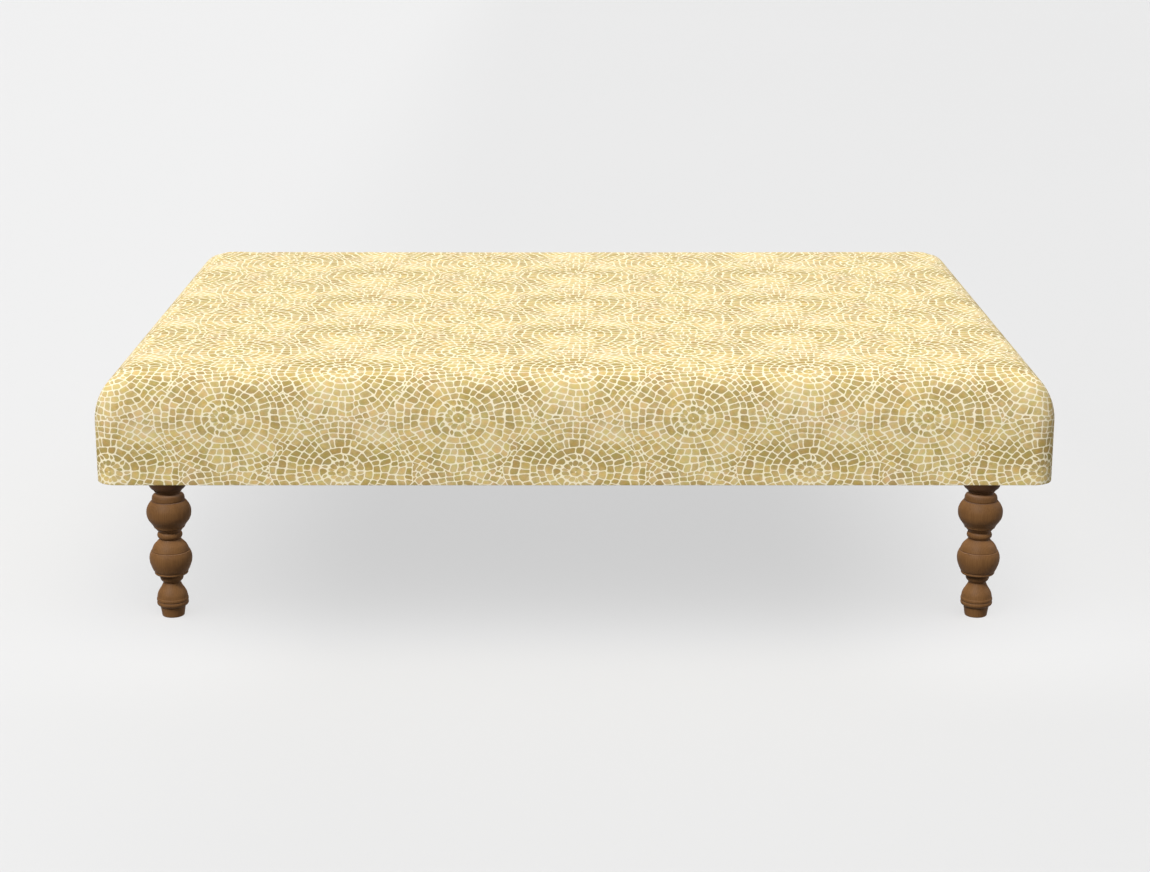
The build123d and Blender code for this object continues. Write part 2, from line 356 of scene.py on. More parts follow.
# %% Light from the floor and the air
BOUNCE_LENGTH = 1.3
BOUNCE_WIDTH = 0.2
BOUNCE_STRENGTH = 0.3
BOUNCE_PLACE = (0, -0.57, 0.02)
AIR_STRENGTH = 0.14


def add_bounce_lamp():
    """A long lamp just above the floor that shines upward and casts no shadow."""
    data = bpy.data.lights.new("bounce_lamp", "AREA")
    data.shape = "RECTANGLE"
    data.size = BOUNCE_LENGTH
    data.size_y = BOUNCE_WIDTH
    data.energy = BOUNCE_STRENGTH
    data.use_shadow = False
    data.cycles.cast_shadow = False
    lamp = bpy.data.objects.new("bounce_lamp", data)
    lamp.location = BOUNCE_PLACE
    lamp.rotation_euler = (math.pi, 0, 0)
    bpy.context.scene.collection.objects.link(lamp)
    return lamp


bounce_lamp = add_bounce_lamp()
floor.visible_diffuse = False
world = bpy.data.worlds.new("studio_air")
world.use_nodes = True
air = world.node_tree.nodes["Background"]
air.inputs["Color"].default_value = (1, 1, 1, 1)
air.inputs["Strength"].default_value = AIR_STRENGTH
bpy.context.scene.world = world
bpy.context.scene.view_settings.view_transform = "Standard"
print("lamp on the floor:", bounce_lamp.name, "at", BOUNCE_PLACE)

# %% [markdown]
# ## The printed cotton
# The cover is cotton printed with a traditional mosaic: rings of small stone-coloured tiles round a dot, set
# in offset rows, so that each row of rosettes sits between those of the row above. An image would blur up
# close, so the print is worked out from the place on the cloth, held in a UV map named print_map.
# First come the rosette centres. They form two plain grids, and each point belongs to the nearer centre.
# The two grids hold two kinds of rosette, so the print comes back to itself after one rosette across and
# two rows up, as a print from a roller does.

# %% Rosette centres
ROSETTE_PITCH = 296.0
ROSETTE_ROW = 83.5
FIRST_ROSETTE = 1.8


def nearest_in_grid(x, y, start_x, start_y):
    """How far across and up a point is from the nearest centre of one grid, in millimetres."""
    column = ((x - start_x) / ROSETTE_PITCH).nearest_whole()
    row = ((y - start_y) / (2 * ROSETTE_ROW)).nearest_whole()
    across = x - start_x - column * ROSETTE_PITCH
    up = y - start_y - row * (2 * ROSETTE_ROW)
    return across, up


def distance(across, up):
    """The straight distance that two legs make."""
    return (across * across + up * up).math("SQRT")


print("rosettes every", ROSETTE_PITCH, "mm, rows", ROSETTE_ROW, "mm apart in the print")

# %% [markdown]
# Round each centre the tiles lie in rings. A ring is cut into pairs of tiles, and each pair is split at a
# random share, so no two tiles of a rosette are alike. The first two rings alternate a wide tile and a wedge:
# the first ring's wedges point inward and the second's outward. The joints on both sides of the first ring
# are a little bolder than the others, and the dot has a pale spot in its middle. The outer rings waver.
# The recipe also works out where the tile's middle is, which the next cell needs.

# %% Rings of tiles
DOT_EDGE = 8.2
RING_WIDTH = 10.3
TILE_LENGTH = 10.0
WAVER_STARTS = 24.0
WAVER_FULL = 60.0
WAVER_REACH = 20.0
# Where a joint or the dot's pale spot lies, and by how much it is wider than the others, both in mm
BOLD_JOINTS = ((0.0, 0.45), (8.2, 0.05), (18.5, 0.05))
# A tile's least share of its pair, and how much chance adds to it
PLAIN_SHARES = (0.35, 0.3)
# A wide tile beside a wedge: its least share, how much of the plain share adds to it, and how much more it
# takes where the wedge is thinnest
WEDGE_SHARES = (0.48, 0.2, 0.38)
# How far a tile's corners are rounded, how much more in the rings with wedges, and how much finer the joints
# between the first ring's tiles are, all in mm
CORNER_ROUNDING = 2.6
WEDGE_ROUNDING = 1.6
FINER_SIDES = 0.6
# The dot has no joints across it, so the nearest one is put this many mm away
OUT_OF_REACH = 20.0


def ring_tiles(tree, kind, across, up, far):
    """For a point near a rosette: how far it is from its tile's edge, the tile's chance, and its middle."""
    # Bare whole numbers in the points below are seeds, which only keep one chance apart from the next
    waver = clouds(point(tree, across * 0.03, up * 0.03, kind * 7.0 + 6.0), 1.0, 1.0) - 0.5
    far = far + waver * ramp(far, WAVER_STARTS, WAVER_FULL) * WAVER_REACH
    position = (far - DOT_EDGE) / RING_WIDTH
    ring = position.whole() + 1.0
    along = position.part()
    is_dot = ring.below(0.5)
    in_first = ring.below(1.5)
    has_wedges = ring.below(2.5)
    to_ring_edge = (along.least(along * -1.0 + 1.0)) * RING_WIDTH
    for edge, boldness in BOLD_JOINTS:
        to_ring_edge = to_ring_edge.least((far - edge).size() - boldness)

    middle = (ring - 0.5) * RING_WIDTH + DOT_EDGE
    pairs = (middle * (math.pi / TILE_LENGTH)).nearest_whole()
    pairs = pairs + has_wedges * (ring * -1.0 + 4.0) - ring.math("COMPARE", 3.0, 0.1) * 3.0
    shift = chance(point(tree, ring, kind, 8.0)) + 0.5
    turn = (up.math("ARCTAN2", across) / (2 * math.pi) + shift) * pairs
    pair = turn.whole().math("FLOORED_MODULO", pairs)
    share = turn.part()
    cut = chance(point(tree, ring, pair, kind + 5.0)) * PLAIN_SHARES[1] + PLAIN_SHARES[0]
    pinch = pick(in_first, along * -1.0 + 1.0, along)
    wedge_cut = cut * WEDGE_SHARES[1] + pinch * pinch * pinch * WEDGE_SHARES[2] + WEDGE_SHARES[0]
    cut = pick(has_wedges, wedge_cut, cut)

    second = cut.below(share)
    first_edge = share.least(cut - share)
    second_edge = (share - cut).least(share * -1.0 + 1.0)
    to_side = pick(second, second_edge, first_edge) * far * (2 * math.pi) / pairs
    to_side = to_side + is_dot * OUT_OF_REACH + in_first * FINER_SIDES
    to_edge = round_off(to_ring_edge, to_side, has_wedges * WEDGE_ROUNDING + CORNER_ROUNDING)
    luck = chance(point(tree, ring, pair * 2.0 + second, kind + 1.0))

    middle_share = (cut + second) * 0.5
    middle_turn = ((turn.whole() + middle_share) / pairs - shift) * (2 * math.pi)
    middle = middle * (ring * -1.0).below(-0.5)
    return to_edge, luck, middle_turn.math("COSINE") * middle, middle_turn.math("SINE") * middle


def round_off(first, second, softness):
    """The lesser of two distances, eased where they are nearly equal, which rounds a tile's corners."""
    gap = ((first - second).size() * -1.0 + softness).most(0.0) / softness
    return first.least(second) - gap * gap * (softness / 4)


print("rings of", RING_WIDTH, "mm, tiles about", TILE_LENGTH, "mm long")

# %% [markdown]
# Where two rosettes meet, a plain straight cut would leave rows of thin slivers. A mosaic layer avoids
# these: a tile that would lose about half goes to the neighbour's tile, which is laid a little larger.
# So both rosettes' tiles are worked out for each point. A tile whose middle lies over the border counts as
# lost, and the point joins the other rosette's tile. Where both are lost, the two halves are laid as one
# tile, with no joint along the border.

# %% Where rosettes meet
LEAST_HALF = -0.4
# How far corners are rounded where two rosettes' tiles meet, and where three do, in mm
ROUNDING_OF_TWO = 2.0
ROUNDING_OF_THREE = 1.5


def meeting_tiles(tree, x, y):
    """Every tile of the mosaic: how far a point is from its tile's edge, and the tile's chance."""
    across_a, up_a = nearest_in_grid(x, y, FIRST_ROSETTE, 0.0)
    across_b, up_b = nearest_in_grid(x, y, FIRST_ROSETTE + ROSETTE_PITCH / 2, ROSETTE_ROW)
    far_a = distance(across_a, up_a)
    far_b = distance(across_b, up_b)
    in_a = far_a.below(far_b)
    kind = in_a.below(0.5)
    near_across = pick(in_a, across_a, across_b)
    near_up = pick(in_a, up_a, up_b)
    far = far_a.least(far_b)
    side_across = pick(in_a, across_b, across_a)
    side_up = pick(in_a, up_b, up_a)
    side_far = far_a.most(far_b)
    over_up = near_up - near_up.math("SIGN") * (2 * ROSETTE_ROW)
    over_far = distance(near_across, over_up)
    over = over_far.below(side_far)
    next_across = pick(over, near_across, side_across)
    next_up = pick(over, over_up, side_up)
    next_far = over_far.least(side_far)
    next_kind = pick(over, kind, kind * -1.0 + 1.0)

    edge_near, luck_near, middle_x, middle_y = ring_tiles(tree, kind, near_across, near_up, far)
    edge_next, luck_next, next_x, next_y = ring_tiles(tree, next_kind, next_across, next_up, next_far)
    to_next_x = near_across - next_across
    to_next_y = near_up - next_up
    span = distance(to_next_x, to_next_y)
    border = span * 0.5 - (near_across * to_next_x + near_up * to_next_y) / span
    kept_near = span * 0.5 - (middle_x * to_next_x + middle_y * to_next_y) / span
    kept_next = span * 0.5 + (next_x * to_next_x + next_y * to_next_y) / span
    lost_near = kept_near.below(LEAST_HALF)
    lost_next = kept_next.below(LEAST_HALF)

    both_edges = round_off(edge_near, edge_next, ROUNDING_OF_TWO)
    third_edge = ((over_far - side_far).size() * 0.5).least(side_up.size() * -1.0 + ROSETTE_ROW)
    whole = pick(lost_next, edge_near, round_off(edge_near, border, ROUNDING_OF_TWO))
    lost = round_off(pick(lost_next, edge_near, both_edges), third_edge, ROUNDING_OF_THREE)
    to_edge = pick(lost_near, lost, whole)
    luck_lost = pick(lost_next, 0.5, luck_next)
    return to_edge, pick(lost_near, luck_lost, luck_near)


print("a tile is kept if its middle is at most", -LEAST_HALF, "mm over the border")

# %% [markdown]
# The watercolour behind the tiles has pools: places where the wash is darker or more faded. One rosette is
# darkest just above its dot. The other is only a little darker there, and pale pools lie between them. The
# smaller unevenness has to repeat with the print too. For that, the cloth is rolled up in thought: across
# it is one turn round a tube, and up it is one turn round another. Points on both tubes need four values.

# %% Pools of the wash
# Across and up from a rosette's centre, reach across and up, all in mm, and the amount
WASH_POOLS = (
    (-24, 23, 26, 14, -1.0),
    (26, 21, 24, 11, -0.75),
    (63, 17, 20, 11, -0.4),
    (-45, 38, 18, 10, -0.55),
    (-66, 15, 14, 14, -0.55),
    (-94, 122, 20, 11, -0.7),
    (-71, 140, 18, 11, -0.5),
    (148, 110, 24, 12, -0.6),
    (63, 137, 20, 14, -0.65),
    (-17, 151, 22, 13, 0.65),
    (-29, 127, 15, 16, 0.55),
    (46, 56, 20, 12, 0.75),
    (-107, 59, 17, 13, 0.75),
    (21, 82, 15, 10, 0.4),
    (61, 97, 26, 10, 0.35),
)


def wash_of_pools(x, y):
    """The wash at a point, below nothing where it is darker. A pool has its place, reaches and amount."""
    wash = 0.0
    for across, up, reach_across, reach_up, amount in WASH_POOLS:
        tight_across = (ROSETTE_PITCH / (2 * math.pi * reach_across)) ** 2
        tight_up = (ROSETTE_ROW / (math.pi * reach_up)) ** 2
        near = ((x - (FIRST_ROSETTE + across)) * (2 * math.pi / ROSETTE_PITCH)).math("COSINE") * tight_across
        near = near + ((y - up) * (math.pi / ROSETTE_ROW)).math("COSINE") * tight_up
        wash = (near - (tight_across + tight_up)).math("EXPONENT") * amount + wash
    return wash


def place_in_repeat(tree, x, y):
    """The point on the two tubes, as three values and a fourth."""
    turn_across = x * (2 * math.pi / ROSETTE_PITCH)
    turn_up = y * (math.pi / ROSETTE_ROW)
    tube_across = ROSETTE_PITCH / (2 * math.pi)
    tube_up = ROSETTE_ROW / math.pi
    round_x = turn_across.math("COSINE") * tube_across
    round_y = turn_across.math("SINE") * tube_across
    return point(tree, round_x, round_y, turn_up.math("COSINE") * tube_up), turn_up.math("SINE") * tube_up


print("pools in one repeat of the print:", len(WASH_POOLS))

# %% [markdown]
# The colours come last. Each tile is a watercolour stone between ochre and pale sand, darker or more faded
# with the wash, and warmer towards its middle. The joints between the tiles are cream. Slow clouds tint
# everything a little warmer or bluer, as dyes do that run.

# %% Colours of the mosaic
STONE_DARK = (0.416, 0.316, 0.116, 1)
STONE_LIGHT = (0.688, 0.533, 0.246, 1)
STONE_FADED = (0.800, 0.660, 0.380, 1)
CREAM_LIGHT = (0.928, 0.845, 0.588, 1)
CREAM_DULL = (0.903, 0.815, 0.603, 1)


def times(colour, shares, operation="MULTIPLY"):
    """A colour multiplied by three shares, or, with SCALE, by one."""
    node = colour.tree.nodes.new("ShaderNodeVectorMath")
    node.operation = operation
    plug(colour.tree, colour, node.inputs[0])
    plug(colour.tree, shares, node.inputs["Scale" if operation == "SCALE" else 1])
    return Wire(colour.tree, node.outputs[0])


def mosaic_colour(flat, repeat, fourth, wash, to_edge, luck):
    """The printed colour at a point, and how far the point belongs to a tile rather than to a joint."""
    rough_edge = (clouds(flat, 0.45, 1.0) - 0.5) * 0.8
    joint_width = clouds(repeat, 0.05, 0.0, fourth=fourth) * 0.35 + 0.18
    tile = ramp(to_edge + rough_edge, joint_width, joint_width + 0.7)
    cloud = clouds(repeat, 0.03, 3.0, 0.6, fourth=fourth) - 0.5
    depth = cloud * 1.1 + 0.48 - wash * 0.36
    pool = clouds(repeat, 0.16, 2.0, fourth=fourth) - 0.5
    stone_mix = (luck - 0.5) * 0.5 + depth + pool * 0.7 + rough_edge * 0.35
    stone = blend_colours(ramp(stone_mix, 0.05, 0.95), STONE_DARK, STONE_LIGHT)
    faded = ramp(depth * -1.0 + 0.5 + pool * 0.3, 0.1, 0.75)
    stone = blend_colours(faded * 0.8, STONE_FADED, stone)
    cream = blend_colours(clouds(repeat, 0.03, 2.0, fourth=fourth), CREAM_LIGHT, CREAM_DULL)
    return blend_colours(tile, stone, cream), tile


def tint_of_dyes(tree, flat, repeat, fourth, tile, to_edge, luck):
    """How much of red, green and blue a point keeps: clouds and the tile's luck make it warmer or bluer."""
    tint_a, tint_b, _ = split(clouds(flat, 0.11, 2.0, colour=True))
    spread_a, spread_b, _ = split(clouds(repeat, 0.017, 1.0, colour=True, fourth=fourth))
    warm = (tint_a - 0.5) * 0.26 + (spread_a - 0.5) * 0.10 + (luck * 7.3).part() * 0.04 - 0.02
    blue = (tint_b - 0.5) * 0.60 + (spread_b - 0.5) * 0.40 + (luck * 13.7).part() * 0.10 - 0.05
    warm = warm * (tile * 0.75 + 0.25)
    blue = blue * (tile * 0.75 + 0.25)
    heart = ramp(to_edge, 1.5, 4.5)
    green = warm * -0.35 - heart * 0.03
    return point(tree, warm + heart * 0.03 + 1.0, green + 1.0, blue - heart * 0.17 + 1.0)


print("stone from", STONE_DARK[:3], "to", STONE_LIGHT[:3])

# %% [markdown]
# The cotton itself has a fine weave. Its threads are two crossing waves, and a stretched noise stands for
# uneven weft threads. Both shade the colour a little and raise small bumps. Before the tiles are worked out,
# two slow clouds push the point aside, so that no ring or joint is drawn with a compass or a ruler.

# %% The mosaic cloth
# How far the fine and the slow clouds push a point aside, at most about half of this, in mm
WOBBLE = 3.4
DRIFT = 5.0
THREADS = 8.0
# The weft noise is stretched along the thread: its clouds per mm along and across
WEFT_ALONG = 0.10
WEFT_ACROSS = 1.6
# How much the weft and the crossing threads shade the colour
WEFT_SHADE = 0.16
THREAD_SHADE = 0.03


def make_mosaic_cloth():
    """The printed cotton."""
    material, tree, shader = new_finish("mosaic_cloth", 0.92, gloss=0.2)
    uv = tree.nodes.new("ShaderNodeUVMap")
    uv.uv_map = "print_map"
    flat_x, flat_y, _ = split(Wire(tree, uv.outputs[0]))
    flat_x = flat_x * 1000.0
    flat_y = flat_y * 1000.0
    flat = point(tree, flat_x, flat_y)
    repeat, fourth = place_in_repeat(tree, flat_x, flat_y)
    wobble_x, wobble_y, _ = split(clouds(repeat, 0.085, 1.0, colour=True, fourth=fourth))
    drift_x, drift_y, _ = split(clouds(repeat, 0.02, 0.0, colour=True, fourth=fourth))
    x = flat_x + (wobble_x - 0.5) * WOBBLE + (drift_x - 0.5) * DRIFT
    y = flat_y + (wobble_y - 0.5) * WOBBLE + (drift_y - 0.5) * DRIFT

    to_edge, luck = meeting_tiles(tree, x, y)
    wash = wash_of_pools(x, y)
    colour, tile = mosaic_colour(flat, repeat, fourth, wash, to_edge, luck)
    colour = times(colour, tint_of_dyes(tree, flat, repeat, fourth, tile, to_edge, luck))

    weft = clouds(point(tree, flat_x * WEFT_ALONG, flat_y * WEFT_ACROSS), 1.0, 2.0) - 0.5
    threads = (flat_x * THREADS).math("SINE") * (flat_y * THREADS).math("SINE")
    colour = times(colour, weft * WEFT_SHADE + threads * THREAD_SHADE + 1.0, "SCALE")
    plug(tree, colour, shader.inputs["Base Color"])
    relief(tree, shader, threads * 0.5 + weft + 0.5, 0.15 * MM, 0.5)
    return material


mosaic_cloth = make_mosaic_cloth()
print("mosaic cloth:", len(mosaic_cloth.node_tree.nodes), "nodes")

# %% [markdown]
# ## The cover's shape
# The cover is one piece of cloth pulled over the padding: flat on top, rolled over the edges, straight down
# the sides and turned under along the frame. It could be a subdivided cube, but then its print couldn't be
# laid. So it is a net: a grid for the top, and rings of points that follow the rounded outline downwards.
# A ring's points are given once, as shares of the outline, and every ring uses the same list.

# %% Points round the outline
ARC_STEPS = 6
LONG_STEPS = 118
SHORT_STEPS = 84
NEAR_CORNER_SHARES = [0, 0.0022, 0.0045, 0.0068, 0.009, 0.0125, 0.018]


def outline_stations():
    """Stations round the rounded outline, and how many cells the top's grid has along and across."""
    short_shares = crowded_shares()
    long_shares = [2 * i / LONG_STEPS - 1 for i in range(LONG_STEPS + 1)]
    made = []
    sides = ((-90, long_shares, 1), (0, short_shares, 1), (90, long_shares, -1), (180, short_shares, -1))
    for facing, shares, sense in sides:
        for step in range(ARC_STEPS):
            made.append(station(facing, sense * -1, facing - 45 + 45 * step / ARC_STEPS))
        for share in shares:
            made.append(station(facing, sense * share, facing))
        for step in range(1, ARC_STEPS):
            made.append(station(facing, sense * 1, facing + 45 * step / ARC_STEPS))
    columns = 2 * ARC_STEPS + len(long_shares) - 1
    rows = 2 * ARC_STEPS + len(short_shares) - 1
    return made, columns, rows


def crowded_shares():
    """Shares along the short sides, close together near the corners, where the print breaks at the fold."""
    near = NEAR_CORNER_SHARES
    steps = [near[-1] + (2 - 2 * near[-1]) * i / SHORT_STEPS for i in range(1, SHORT_STEPS)]
    shares = near + steps + [2 - n for n in reversed(near)]
    return [s - 1 for s in shares]


def station(facing, share, angle):
    """One station: shares of the straight half length and depth, and the angle of the way out."""
    share_x, share_y = {-90: (share, -1), 0: (1, share), 90: (share, 1), 180: (-1, share)}[facing]
    return share_x, share_y, math.radians(angle)


def plan_point(one, inset, radius, z):
    """Where a station lies when the outline is drawn in by an inset."""
    share_x, share_y, angle = one
    x = share_x * (half_length - inset - radius) + radius * math.cos(angle)
    y = share_y * (half_depth - inset - radius) + radius * math.sin(angle)
    return Vector((x, y, z))


stations, top_columns, top_rows = outline_stations()
print("stations:", len(stations), "top grid:", top_columns, "by", top_rows)

# %% [markdown]
# Each ring has an inset and a height. From the top down they make the roll, the upright wall, the tight
# fold at the bottom edge, and the strip that is turned under and stapled to the frame.

# %% Rings from the top down
ROLL_STEPS = 14
WALL_STEPS = 11
FOLD_STEPS = 3
HEM_INSETS = (5, 10, 16, 22, 28, 30.8)
LEAST_HEM_RADIUS = 1
roll_base = cover_top - roll_down


def cover_rings():
    """The rings from the top down, each with its inset, its corner radius and its height."""
    made = []
    for step in range(ROLL_STEPS + 1):
        turn = math.pi / 2 * (1 - step / ROLL_STEPS)
        z = roll_base + roll_down * math.sin(turn)
        made.append((roll_in - roll_in * math.cos(turn), corner_radius, z))
    wall_end = cover_base + hem_edge_radius
    for step in range(1, WALL_STEPS + 1):
        made.append((0, corner_radius, roll_base + (wall_end - roll_base) * step / WALL_STEPS))
    for step in range(1, FOLD_STEPS + 1):
        turn = math.pi / 2 * step / FOLD_STEPS
        inset = hem_edge_radius * (1 - math.cos(turn))
        made.append((inset, corner_radius - inset, cover_base + hem_edge_radius * (1 - math.sin(turn))))
    for inset in HEM_INSETS:
        made.append((inset * MM, max(corner_radius - inset * MM, LEAST_HEM_RADIUS * MM), cover_base))
    return made


rings = cover_rings()
print("rings:", len(rings))

# %% [markdown]
# The top's grid has to end exactly on the first ring. A Coons patch does that: each inner point is a blend
# of the four edges, so the grid lines stay nearly straight and bend only close to the rounded corners.

# %% Net of the cover
def edge_points(ring):
    """A ring's four sides, each with both its ends."""
    front = ring[0 : top_columns + 1]
    right = ring[top_columns : top_columns + top_rows + 1]
    back = ring[top_columns + top_rows : 2 * top_columns + top_rows + 1]
    left = ring[2 * top_columns + top_rows :] + [ring[0]]
    return front, right, back[::-1], left[::-1]


def net_of_top(ring):
    """Points inside the top's outline, row by row, without the outline itself."""
    front, right, back, left = edge_points(ring)
    grid = {}
    for j in range(1, top_rows):
        for i in range(1, top_columns):
            u = (front[i].x - front[0].x) / (front[-1].x - front[0].x)
            v = (left[j].y - left[0].y) / (left[-1].y - left[0].y)
            sides = left[j] * (1 - u) + right[j] * u
            ends = front[i] * (1 - v) + back[i] * v
            corners = (front[0] * (1 - u) + front[-1] * u) * (1 - v) + (back[0] * (1 - u) + back[-1] * u) * v
            grid[i, j] = sides + ends - corners
    return grid


# %% Cells of the net
def net_points(made_rings):
    """Points of a top grid and its rings, the cells that join them, and the number of each grid point."""
    count = len(stations)
    points = []
    for inset, radius, z in made_rings:
        points += [plan_point(one, inset, radius, z) for one in stations]
    index = {}
    for place, where in net_of_top(points[:count]).items():
        index[place] = len(points)
        points.append(where)
    for i in range(top_columns + 1):
        index[i, 0] = i
        index[i, top_rows] = 2 * top_columns + top_rows - i
    for j in range(top_rows + 1):
        index[top_columns, j] = top_columns + j
        index[0, j] = (2 * top_columns + 2 * top_rows - j) % count
    faces = []
    for j in range(top_rows):
        for i in range(top_columns):
            faces.append((index[i, j], index[i + 1, j], index[i + 1, j + 1], index[i, j + 1]))
    for upper in range(0, (len(made_rings) - 1) * count, count):
        lower = upper + count
        for k in range(count):
            after = (k + 1) % count
            faces.append((upper + k, lower + k, lower + after, upper + after))
    return points, faces, index


cover_points, cover_cells, _ = net_points(rings)
cover = make_mesh("printed_cover", cover_points, cover_cells)
print("cover net:", len(cover.data.vertices), "points,", len(cover.data.polygons), "cells")

# %% [markdown]
# ## Laying the print
# The print runs straight over the top and down the front and back, so its rows follow the depth of the top
# and then the drop. Measured along the photograph's cloth, a row takes about 104 mm on top and 70 mm on the
# drop. The ends are the same cloth, folded down at the corners, so the print breaks there along the fold.
# Blender's own unwrapping would put seams where it likes, so every corner of every cell is placed one by one.

# %% Where a point is on the print
TOP_ROW = 103.85 * MM
DROP_ROW = 69.5 * MM
EDGE_ROWS = 2.07
ROW_IN_PRINT = ROSETTE_ROW * MM
FRONT, BACK = -math.pi / 2, math.pi / 2
flat_half_depth = half_depth - roll_in
rows_on_top = 2 * flat_half_depth / TOP_ROW


def smooth_step(value):
    """Ease a value in and out between nothing and one."""
    value = min(max(value, 0), 1)
    return value * value * (3 - 2 * value)


def print_on_top(p):
    """The print's place for a point on the flat top."""
    rows = EDGE_ROWS + (p.y + flat_half_depth) / TOP_ROW
    return p.x, rows * ROW_IN_PRINT


def print_on_drop(one, drop, facing, where):
    """The print's place on the roll and the wall, by the cloth's length down from the top."""
    share_x, share_y, angle = one
    side = 1 if share_x > 0 else -1
    if facing not in (FRONT, BACK):
        return side * (half_length - roll_in + drop), print_on_top(where)[1]
    turn = abs(math.atan2(math.sin(angle - facing), math.cos(angle - facing)))
    rise = rise_on_roll(where)
    still_in = 1 - math.sqrt(max(1 - rise * rise, 0))
    blend = smooth_step(rise)
    straight = half_length - corner_radius - roll_in * still_in
    if abs(share_x) < 1 or turn == 0:
        across = share_x * straight
    else:
        across = side * (straight + corner_radius * ((1 - blend) * turn + blend * math.sin(turn)))
    lift = blend * corner_radius * (1 - math.cos(turn)) / TOP_ROW
    rows = drop / DROP_ROW - lift
    rows = EDGE_ROWS - rows if share_y < 0 else EDGE_ROWS + rows_on_top + rows
    return across, rows * ROW_IN_PRINT


def rise_on_roll(where):
    """How far up the roll a point is: one on top, nothing on the wall."""
    return min(max((where.z - roll_base) / roll_down, 0), 1)


# %% Lay the print on the cloth
def lay_print(piece):
    """Give every corner of every cell its place on the print."""
    mesh = piece.data
    count = len(stations)
    drops = [0.0]
    for (inset_a, _, z_a), (inset_b, _, z_b) in zip(rings, rings[1:]):
        drops.append(drops[-1] + math.hypot(inset_b - inset_a, z_b - z_a))
    layer = mesh.uv_layers.new(name="print_map")
    top_cells = top_columns * top_rows
    for cell in mesh.polygons:
        facing = strip_facing((cell.index - top_cells) % count)
        for loop in cell.loop_indices:
            number = mesh.loops[loop].vertex_index
            where = mesh.vertices[number].co
            if cell.index < top_cells:
                layer.data[loop].uv = print_on_top(where)
            else:
                level, place = divmod(number, count)
                layer.data[loop].uv = print_on_drop(stations[place], drops[level], facing, where)


def strip_facing(k):
    """Which way the strip of cloth at a station faces: front and back strips reach round the corners."""
    angle_a = stations[k][2]
    angle_b = stations[(k + 1) % len(stations)][2]
    middle = math.atan2(math.sin(angle_a) + math.sin(angle_b), math.cos(angle_a) + math.cos(angle_b))
    middle = math.degrees(middle)
    if -179.9 < middle < -0.1:
        return FRONT
    if 0.1 < middle < 179.9:
        return BACK
    return 0.0 if abs(middle) < 90 else math.pi


lay_print(cover)
print("print rows across the top:", round(rows_on_top, 2))

# %% [markdown]
# ## Swelling the cover
# Foam and wadding push outward on a stretched cover. Its flat faces swell a little, and its edges, where
# the cloth is bent, hold still. Blender's Cloth does this best: the turned-under strip is held as if by its
# staples, air presses from inside without any weight, and the swelling is let out softly, never by more
# than the cap. The padding keeps the cloth from moving inward, so only the way outward is kept.

# %% Swell the cover
SWELL_CAP = 2.5 * MM
SWELL_PRESSURE = 4
SWELL_FRAMES = 20
SWELL_STEPS_PER_FRAME = 5
CLOTH_MASS = 0.3
# The rings that are held: the last two of the fold and all of the hem
HELD_RINGS = 8


def swell(piece, held_points):
    """Blow a cloth piece up a little, keep the result in its mesh and take the Cloth away again."""
    scene = bpy.context.scene
    held = piece.vertex_groups.new(name="held")
    held.add(held_points, 1.0, "REPLACE")
    cloth = piece.modifiers.new("swell", "CLOTH")
    cloth.settings.quality = SWELL_STEPS_PER_FRAME
    cloth.settings.mass = CLOTH_MASS
    cloth.settings.vertex_group_mass = held.name
    cloth.settings.use_pressure = True
    cloth.settings.uniform_pressure_force = SWELL_PRESSURE
    cloth.settings.effector_weights.gravity = 0
    cloth.collision_settings.use_collision = False
    cloth.point_cache.frame_start = 1
    cloth.point_cache.frame_end = SWELL_FRAMES
    for number in range(1, SWELL_FRAMES + 1):
        scene.frame_set(number)
    swollen = piece.evaluated_get(bpy.context.evaluated_depsgraph_get())
    outward = []
    for after, before in zip(swollen.data.vertices, piece.data.vertices):
        free = max((after.co - before.co).dot(before.normal), 0)
        outward.append(before.normal * (free * SWELL_CAP / (SWELL_CAP + free)))
    piece.modifiers.remove(cloth)
    piece.vertex_groups.remove(held)
    for vertex, move in zip(piece.data.vertices, outward):
        vertex.co += move
    piece.data.update()
    scene.frame_set(1)
    return max(move.length for move in outward)


hem_start = len(stations) * (len(rings) - HELD_RINGS)
hem_points = list(range(hem_start, len(stations) * len(rings)))
most = swell(cover, hem_points)
print("most swelling, mm:", round(most / MM, 2))

# %% [markdown]
# The cover is one layer so far. It gets the cotton's thickness on its inner side. It is a sheet that was cut
# flat and stretched over the padding.

# %% Give the cover its thickness
BEHIND = -1
BOTH_SIDES = 0


def thicken(piece, thickness, side):
    """Give a single layer its thickness, behind the way that its cells face or on both sides of them."""
    layer = piece.modifiers.new("thickness", "SOLIDIFY")
    layer.thickness = thickness
    layer.offset = side


thicken(cover, cloth_thickness, BEHIND)
cover.data.materials.append(mosaic_cloth)
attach(cover, "root")
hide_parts("upholstery_cover")

# %% [markdown]
# ## Turned legs
# Each leg is one piece of stained hardwood turned on a lathe: a tapered foot, a shoulder with two beads, a
# bell, two balls with an incised line, collars between them and a cup under the frame. A lathe makes a solid
# from half its outline, and so does this cell: smooth stretches are splined, and crisp edges stay crisp.
# The outline starts under the foot, which has a shallow recess for a glide, and ends on top of the leg.

